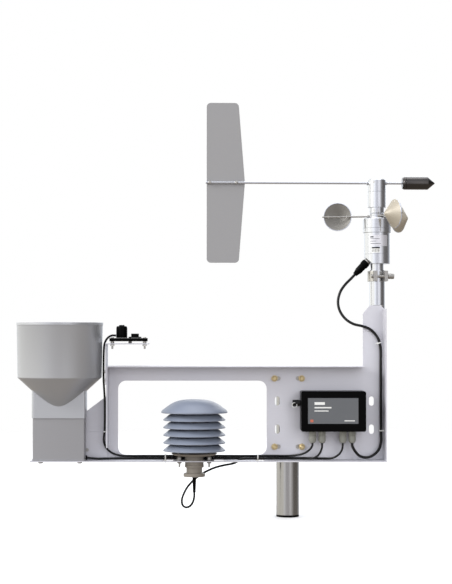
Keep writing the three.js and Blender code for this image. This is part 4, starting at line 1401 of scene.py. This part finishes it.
class STATION_OT_probe_screen(bpy.types.Operator):
    """The dome, louvres, spacers and base that shade the probe"""

    bl_idname = "station.probe_screen"
    bl_label = "Probe screen"

    def execute(self, context):
        place = moved(*SHIELD)
        bm = bmesh.new()
        turn_outline(bm, DOME, place, 112, closed=True)
        finished(
            bm, "screen_dome", "screen_plastic", slot="shield_plastic", instead_of=["shield_dome"],
            sharp=32,
        )
        for number in range(1, 6):
            bm = bmesh.new()
            turn_outline(
                bm, LOUVRE, moved(*SHIELD, LOUVRE_TOP - LOUVRE_STEP * number), 112, closed=True
            )
            finished(
                bm,
                f"louvre_{number}",
                "screen_plastic",
                slot="shield_plastic",
                instead_of=[f"shield_plate_{number}"],
                sharp=32,
            )
        bm = bmesh.new()
        for x, y in TIE_RODS:
            for number in range(1, 6):
                top = LOUVRE_TOP - LOUVRE_STEP * number + 11
                spacer = [(2.7, top + 2), (5, top + 2), (5, top + 16.2), (2.7, top + 16.2)]
                turn_outline(bm, spacer, moved(SHIELD[0] + x, SHIELD[1] + y), 20, closed=True)
        finished(bm, "screen_spacers", "screen_plastic", slot="shield_plastic", sharp=35)
        carried("shield_base", "screen_base", "beige_plastic", "beige_plastic", edge=0.0003, sharp=32)
        bm = bmesh.new()
        for x in (-32, 32):
            washer = [(3.3, 128), (6.2, 128), (6.2, 129.2), (3.3, 129.2)]
            turn_outline(bm, washer, moved(SHIELD[0] + x, SHIELD[1]), 28, closed=True)
            lock = [(3.3, 129.3), (5.6, 129.3), (5.6, 133.2), (3.3, 133.2)]
            turn_outline(bm, lock, moved(SHIELD[0] + x, SHIELD[1]), 6, closed=True)
            tip = [(0, 112.6), (1.7, 112.6), (2.15, 113.1), (2.15, 120.6), (0, 120.6)]
            turn_outline(bm, tip, moved(SHIELD[0] + x, SHIELD[1]), 20)
        finished(bm, "screen_nuts", "bright_steel", slot="dark_steel", sharp=30)
        return {"FINISHED"}


class STATION_OT_humidity_probe(bpy.types.Operator):
    """The probe under the screen, with its collar and lead sleeve"""

    bl_idname = "station.humidity_probe"
    bl_label = "Humidity probe"

    def execute(self, context):
        place = moved(*SHIELD)
        bm = bmesh.new()
        probe = [
            (0, 91.7), (4.3, 91.7), (22.8, 92.4), (23.3, 93), (23.3, 98.8), (22.6, 99.6),
            (17.4, 101.3), (17, 101.9), (17, 111.6), (17.4, 112.1), (20.2, 112.4), (20.6, 112.9),
            (20.6, 117), (20.1, 117.5), (7.6, 117.5), (7.6, 150), (7.2, 150.5), (7.6, 151),
            (7.6, 205), (6, 212), (0, 212),
        ]
        turn_outline(bm, probe, place, 72)
        ribs(bm, 20, (22.6, -0.9, 93.2), (23.3, 0.9, 98.6), place)
        finished(
            bm, "probe", "beige_plastic", slot="beige_plastic", instead_of=["humidity_probe"],
            sharp=30,
        )
        bm = bmesh.new()
        sleeve = [(0, 58.6), (3.2, 58.6)]
        for turn in range(9):
            level = 60.4 + turn * 3.3
            width = 3.25 + turn * 0.115
            sleeve += [
                (width, level), (width - 0.35, level + 0.5), (width - 0.35, level + 1.3),
                (width, level + 1.8),
            ]
        sleeve += [(4.3, 91.7), (0, 91.7)]
        turn_outline(bm, sleeve, place, 32)
        finished(bm, "probe_sleeve", "black_plastic", slot="black_plastic", sharp=30)
        return {"FINISHED"}


# ---- Data logger ----


class STATION_OT_logger(bpy.types.Operator):
    """The logger's box and lid, with the board and batteries inside"""

    bl_idname = "station.logger"
    bl_label = "Data logger"

    def execute(self, context):
        carried("logger_box", "box", "black_plastic", "black_plastic", edge=0.0005)
        carried("logger_lid", "box_lid", "black_plastic", "black_plastic", body="lid", edge=0.0008)
        bm = bmesh.new()
        for x in (33.5, 156.5):
            for z in (198.5, 268.6):
                head = facing((0, -1, 0), (x, -95.2, z))
                turn_outline(bm, [(0, 0), (3.4, 0), (3.2, 0.6), (2.2, 0.9), (0, 0.9)], head, 28)
                slab(bm, (x - 2.4, -96.2, z - 0.35), (x + 2.4, -95.9, z + 0.35))
        bmesh.ops.translate(bm, verts=bm.verts, vec=(0, 0.75, 0))
        finished(bm, "lid_screws", "bright_steel", body="lid", slot="dark_steel", sharp=30)
        dressed("circuit_board", "board_green")
        dressed("battery_pack", "cell_blue")
        return {"FINISHED"}


class STATION_OT_logger_label(bpy.types.Operator):
    """The lid's label with plain bars for print, and no wording"""

    bl_idname = "station.logger_label"
    bl_label = "Logger label"

    def execute(self, context):
        bm = bmesh.new()
        slab(bm, (39.9, -94.7, 207.2), (147.7, -94.4, 262.1))
        finished(bm, "lid_label", "label_grey", body="lid", edge=0.0001)
        bm = bmesh.new()
        for x0, x1, z0, z1 in (
            (54, 76, 247.6, 253.4), (54, 90, 240.2, 243.0), (54, 84, 233.6, 235.6),
            (118, 140, 212.6, 214.6),
        ):
            slab(bm, (x0, -94.85, z0), (x1, -94.68, z1))
        finished(bm, "label_bars", "label_white", body="lid")
        bm = bmesh.new()
        slab(bm, (45, -94.85, 210.6), (51.5, -94.68, 216.2))
        finished(bm, "label_block", "label_mark", body="lid")
        return {"FINISHED"}


class STATION_OT_port_cap(bpy.types.Operator):
    """The dust cap on the logger's side port, with a white ring on its front that is a painted
    highlight
    """

    bl_idname = "station.port_cap"
    bl_label = "Port cap"

    def execute(self, context):
        place = facing((1, 0, 0), (8.3, -60, 250))
        bm = bmesh.new()
        cap = [
            (0, 0), (5.8, 0), (6.8, 0.9), (7, 2), (7, 16.6), (6.7, 17), (5, 17), (5, 4.5), (0, 4.5)
        ]
        turn_outline(bm, cap, place, 48)
        ribs(bm, 18, (6.4, -0.5, 2.2), (6.98, 0.5, 12), place)
        finished(
            bm, "dust_cap", "lead_jacket", body="dust_cap", slot="lead_rubber",
            instead_of=["port_cap"], sharp=30,
        )
        bm = bmesh.new()
        # Painted highlight: a thin white ring laid on the front of the black cap.
        ring(bm, 5.4, 0.8, facing((0.25, -1, 0.15), (12.6, -67.4, 245.6)), 40, 10)
        finished(bm, "cap_highlight_ring", "tie_nylon", body="dust_cap")
        return {"FINISHED"}


class STATION_OT_glands(bpy.types.Operator):
    """The four ribbed glands under the logger"""

    bl_idname = "station.glands"
    bl_label = "Cable glands"

    def execute(self, context):
        for number, x in enumerate(GLAND_PLACES, 1):
            place = moved(x, -66)
            bm = bmesh.new()
            rod(bm, (x, -66, 181), (x, -66, 190.1), 8.6, 6)
            dome = [
                (0, 164.5), (4.2, 164.5), (5.2, 164.9), (6.8, 166.9), (7.5, 169), (7.8, 172),
                (7.9, 179.6), (7.3, 180.4), (6.6, 181.4), (0, 181.4),
            ]
            turn_outline(bm, dome, place, 40)
            ribs(bm, 12, (7.2, -0.7, 169.4), (8.15, 0.7, 179.2), place)
            finished(
                bm,
                f"cable_gland_{number}",
                "gland_plastic",
                slot="grey_plastic",
                instead_of=[f"gland_{number}"],
                edge=0.0002,
                sharp=32,
            )
        bm = bmesh.new()
        for x in GLAND_PLACES:
            turn_outline(
                bm, [(2.6, 163.9), (4.3, 163.9), (4.3, 164.6), (2.6, 164.6)], moved(x, -66), 28,
                closed=True,
            )
        finished(bm, "gland_seals", "lead_jacket", slot="lead_rubber", sharp=30)
        return {"FINISHED"}


# ---- Panel and registration ----

STEPS = [
    STATION_OT_stage,
    STATION_OT_leads,
    STATION_OT_mast,
    STATION_OT_clamps,
    STATION_OT_plate,
    STATION_OT_wind_post,
    STATION_OT_wind_sensor,
    STATION_OT_sensor_labels,
    STATION_OT_wind_plug,
    STATION_OT_cups,
    STATION_OT_vane,
    STATION_OT_rain_gauge,
    STATION_OT_tipping_bucket,
    STATION_OT_sun_sensor,
    STATION_OT_probe_screen,
    STATION_OT_humidity_probe,
    STATION_OT_logger,
    STATION_OT_logger_label,
    STATION_OT_port_cap,
    STATION_OT_glands,
    STATION_OT_cable_ties,
]


class STATION_PT_build(bpy.types.Panel):
    """Sizes, colours and the build steps in order"""

    bl_idname = "STATION_PT_build"
    bl_label = "Weather station"
    bl_space_type = "VIEW_3D"
    bl_region_type = "UI"
    bl_category = "Station"

    def draw(self, context):
        column = self.layout.column(align=True)
        for settings in (context.scene.station_sizes, context.scene.station_colours):
            for setting in settings.__annotations__:
                column.prop(settings, setting)
        for step in STEPS:
            column.operator(step.bl_idname)


CLASSES = [StationSizes, StationColours, *STEPS, STATION_PT_build]


def register():
    for one in CLASSES:
        bpy.utils.register_class(one)
    bpy.types.Scene.station_sizes = bpy.props.PointerProperty(type=StationSizes)
    bpy.types.Scene.station_colours = bpy.props.PointerProperty(type=StationColours)


def unregister():
    del bpy.types.Scene.station_colours
    del bpy.types.Scene.station_sizes
    for one in reversed(CLASSES):
        bpy.utils.unregister_class(one)


def main():
    register()
    for step in STEPS:
        family, action = step.bl_idname.split(".")
        getattr(getattr(bpy.ops, family), action)()


if __name__ == "__main__":
    main()
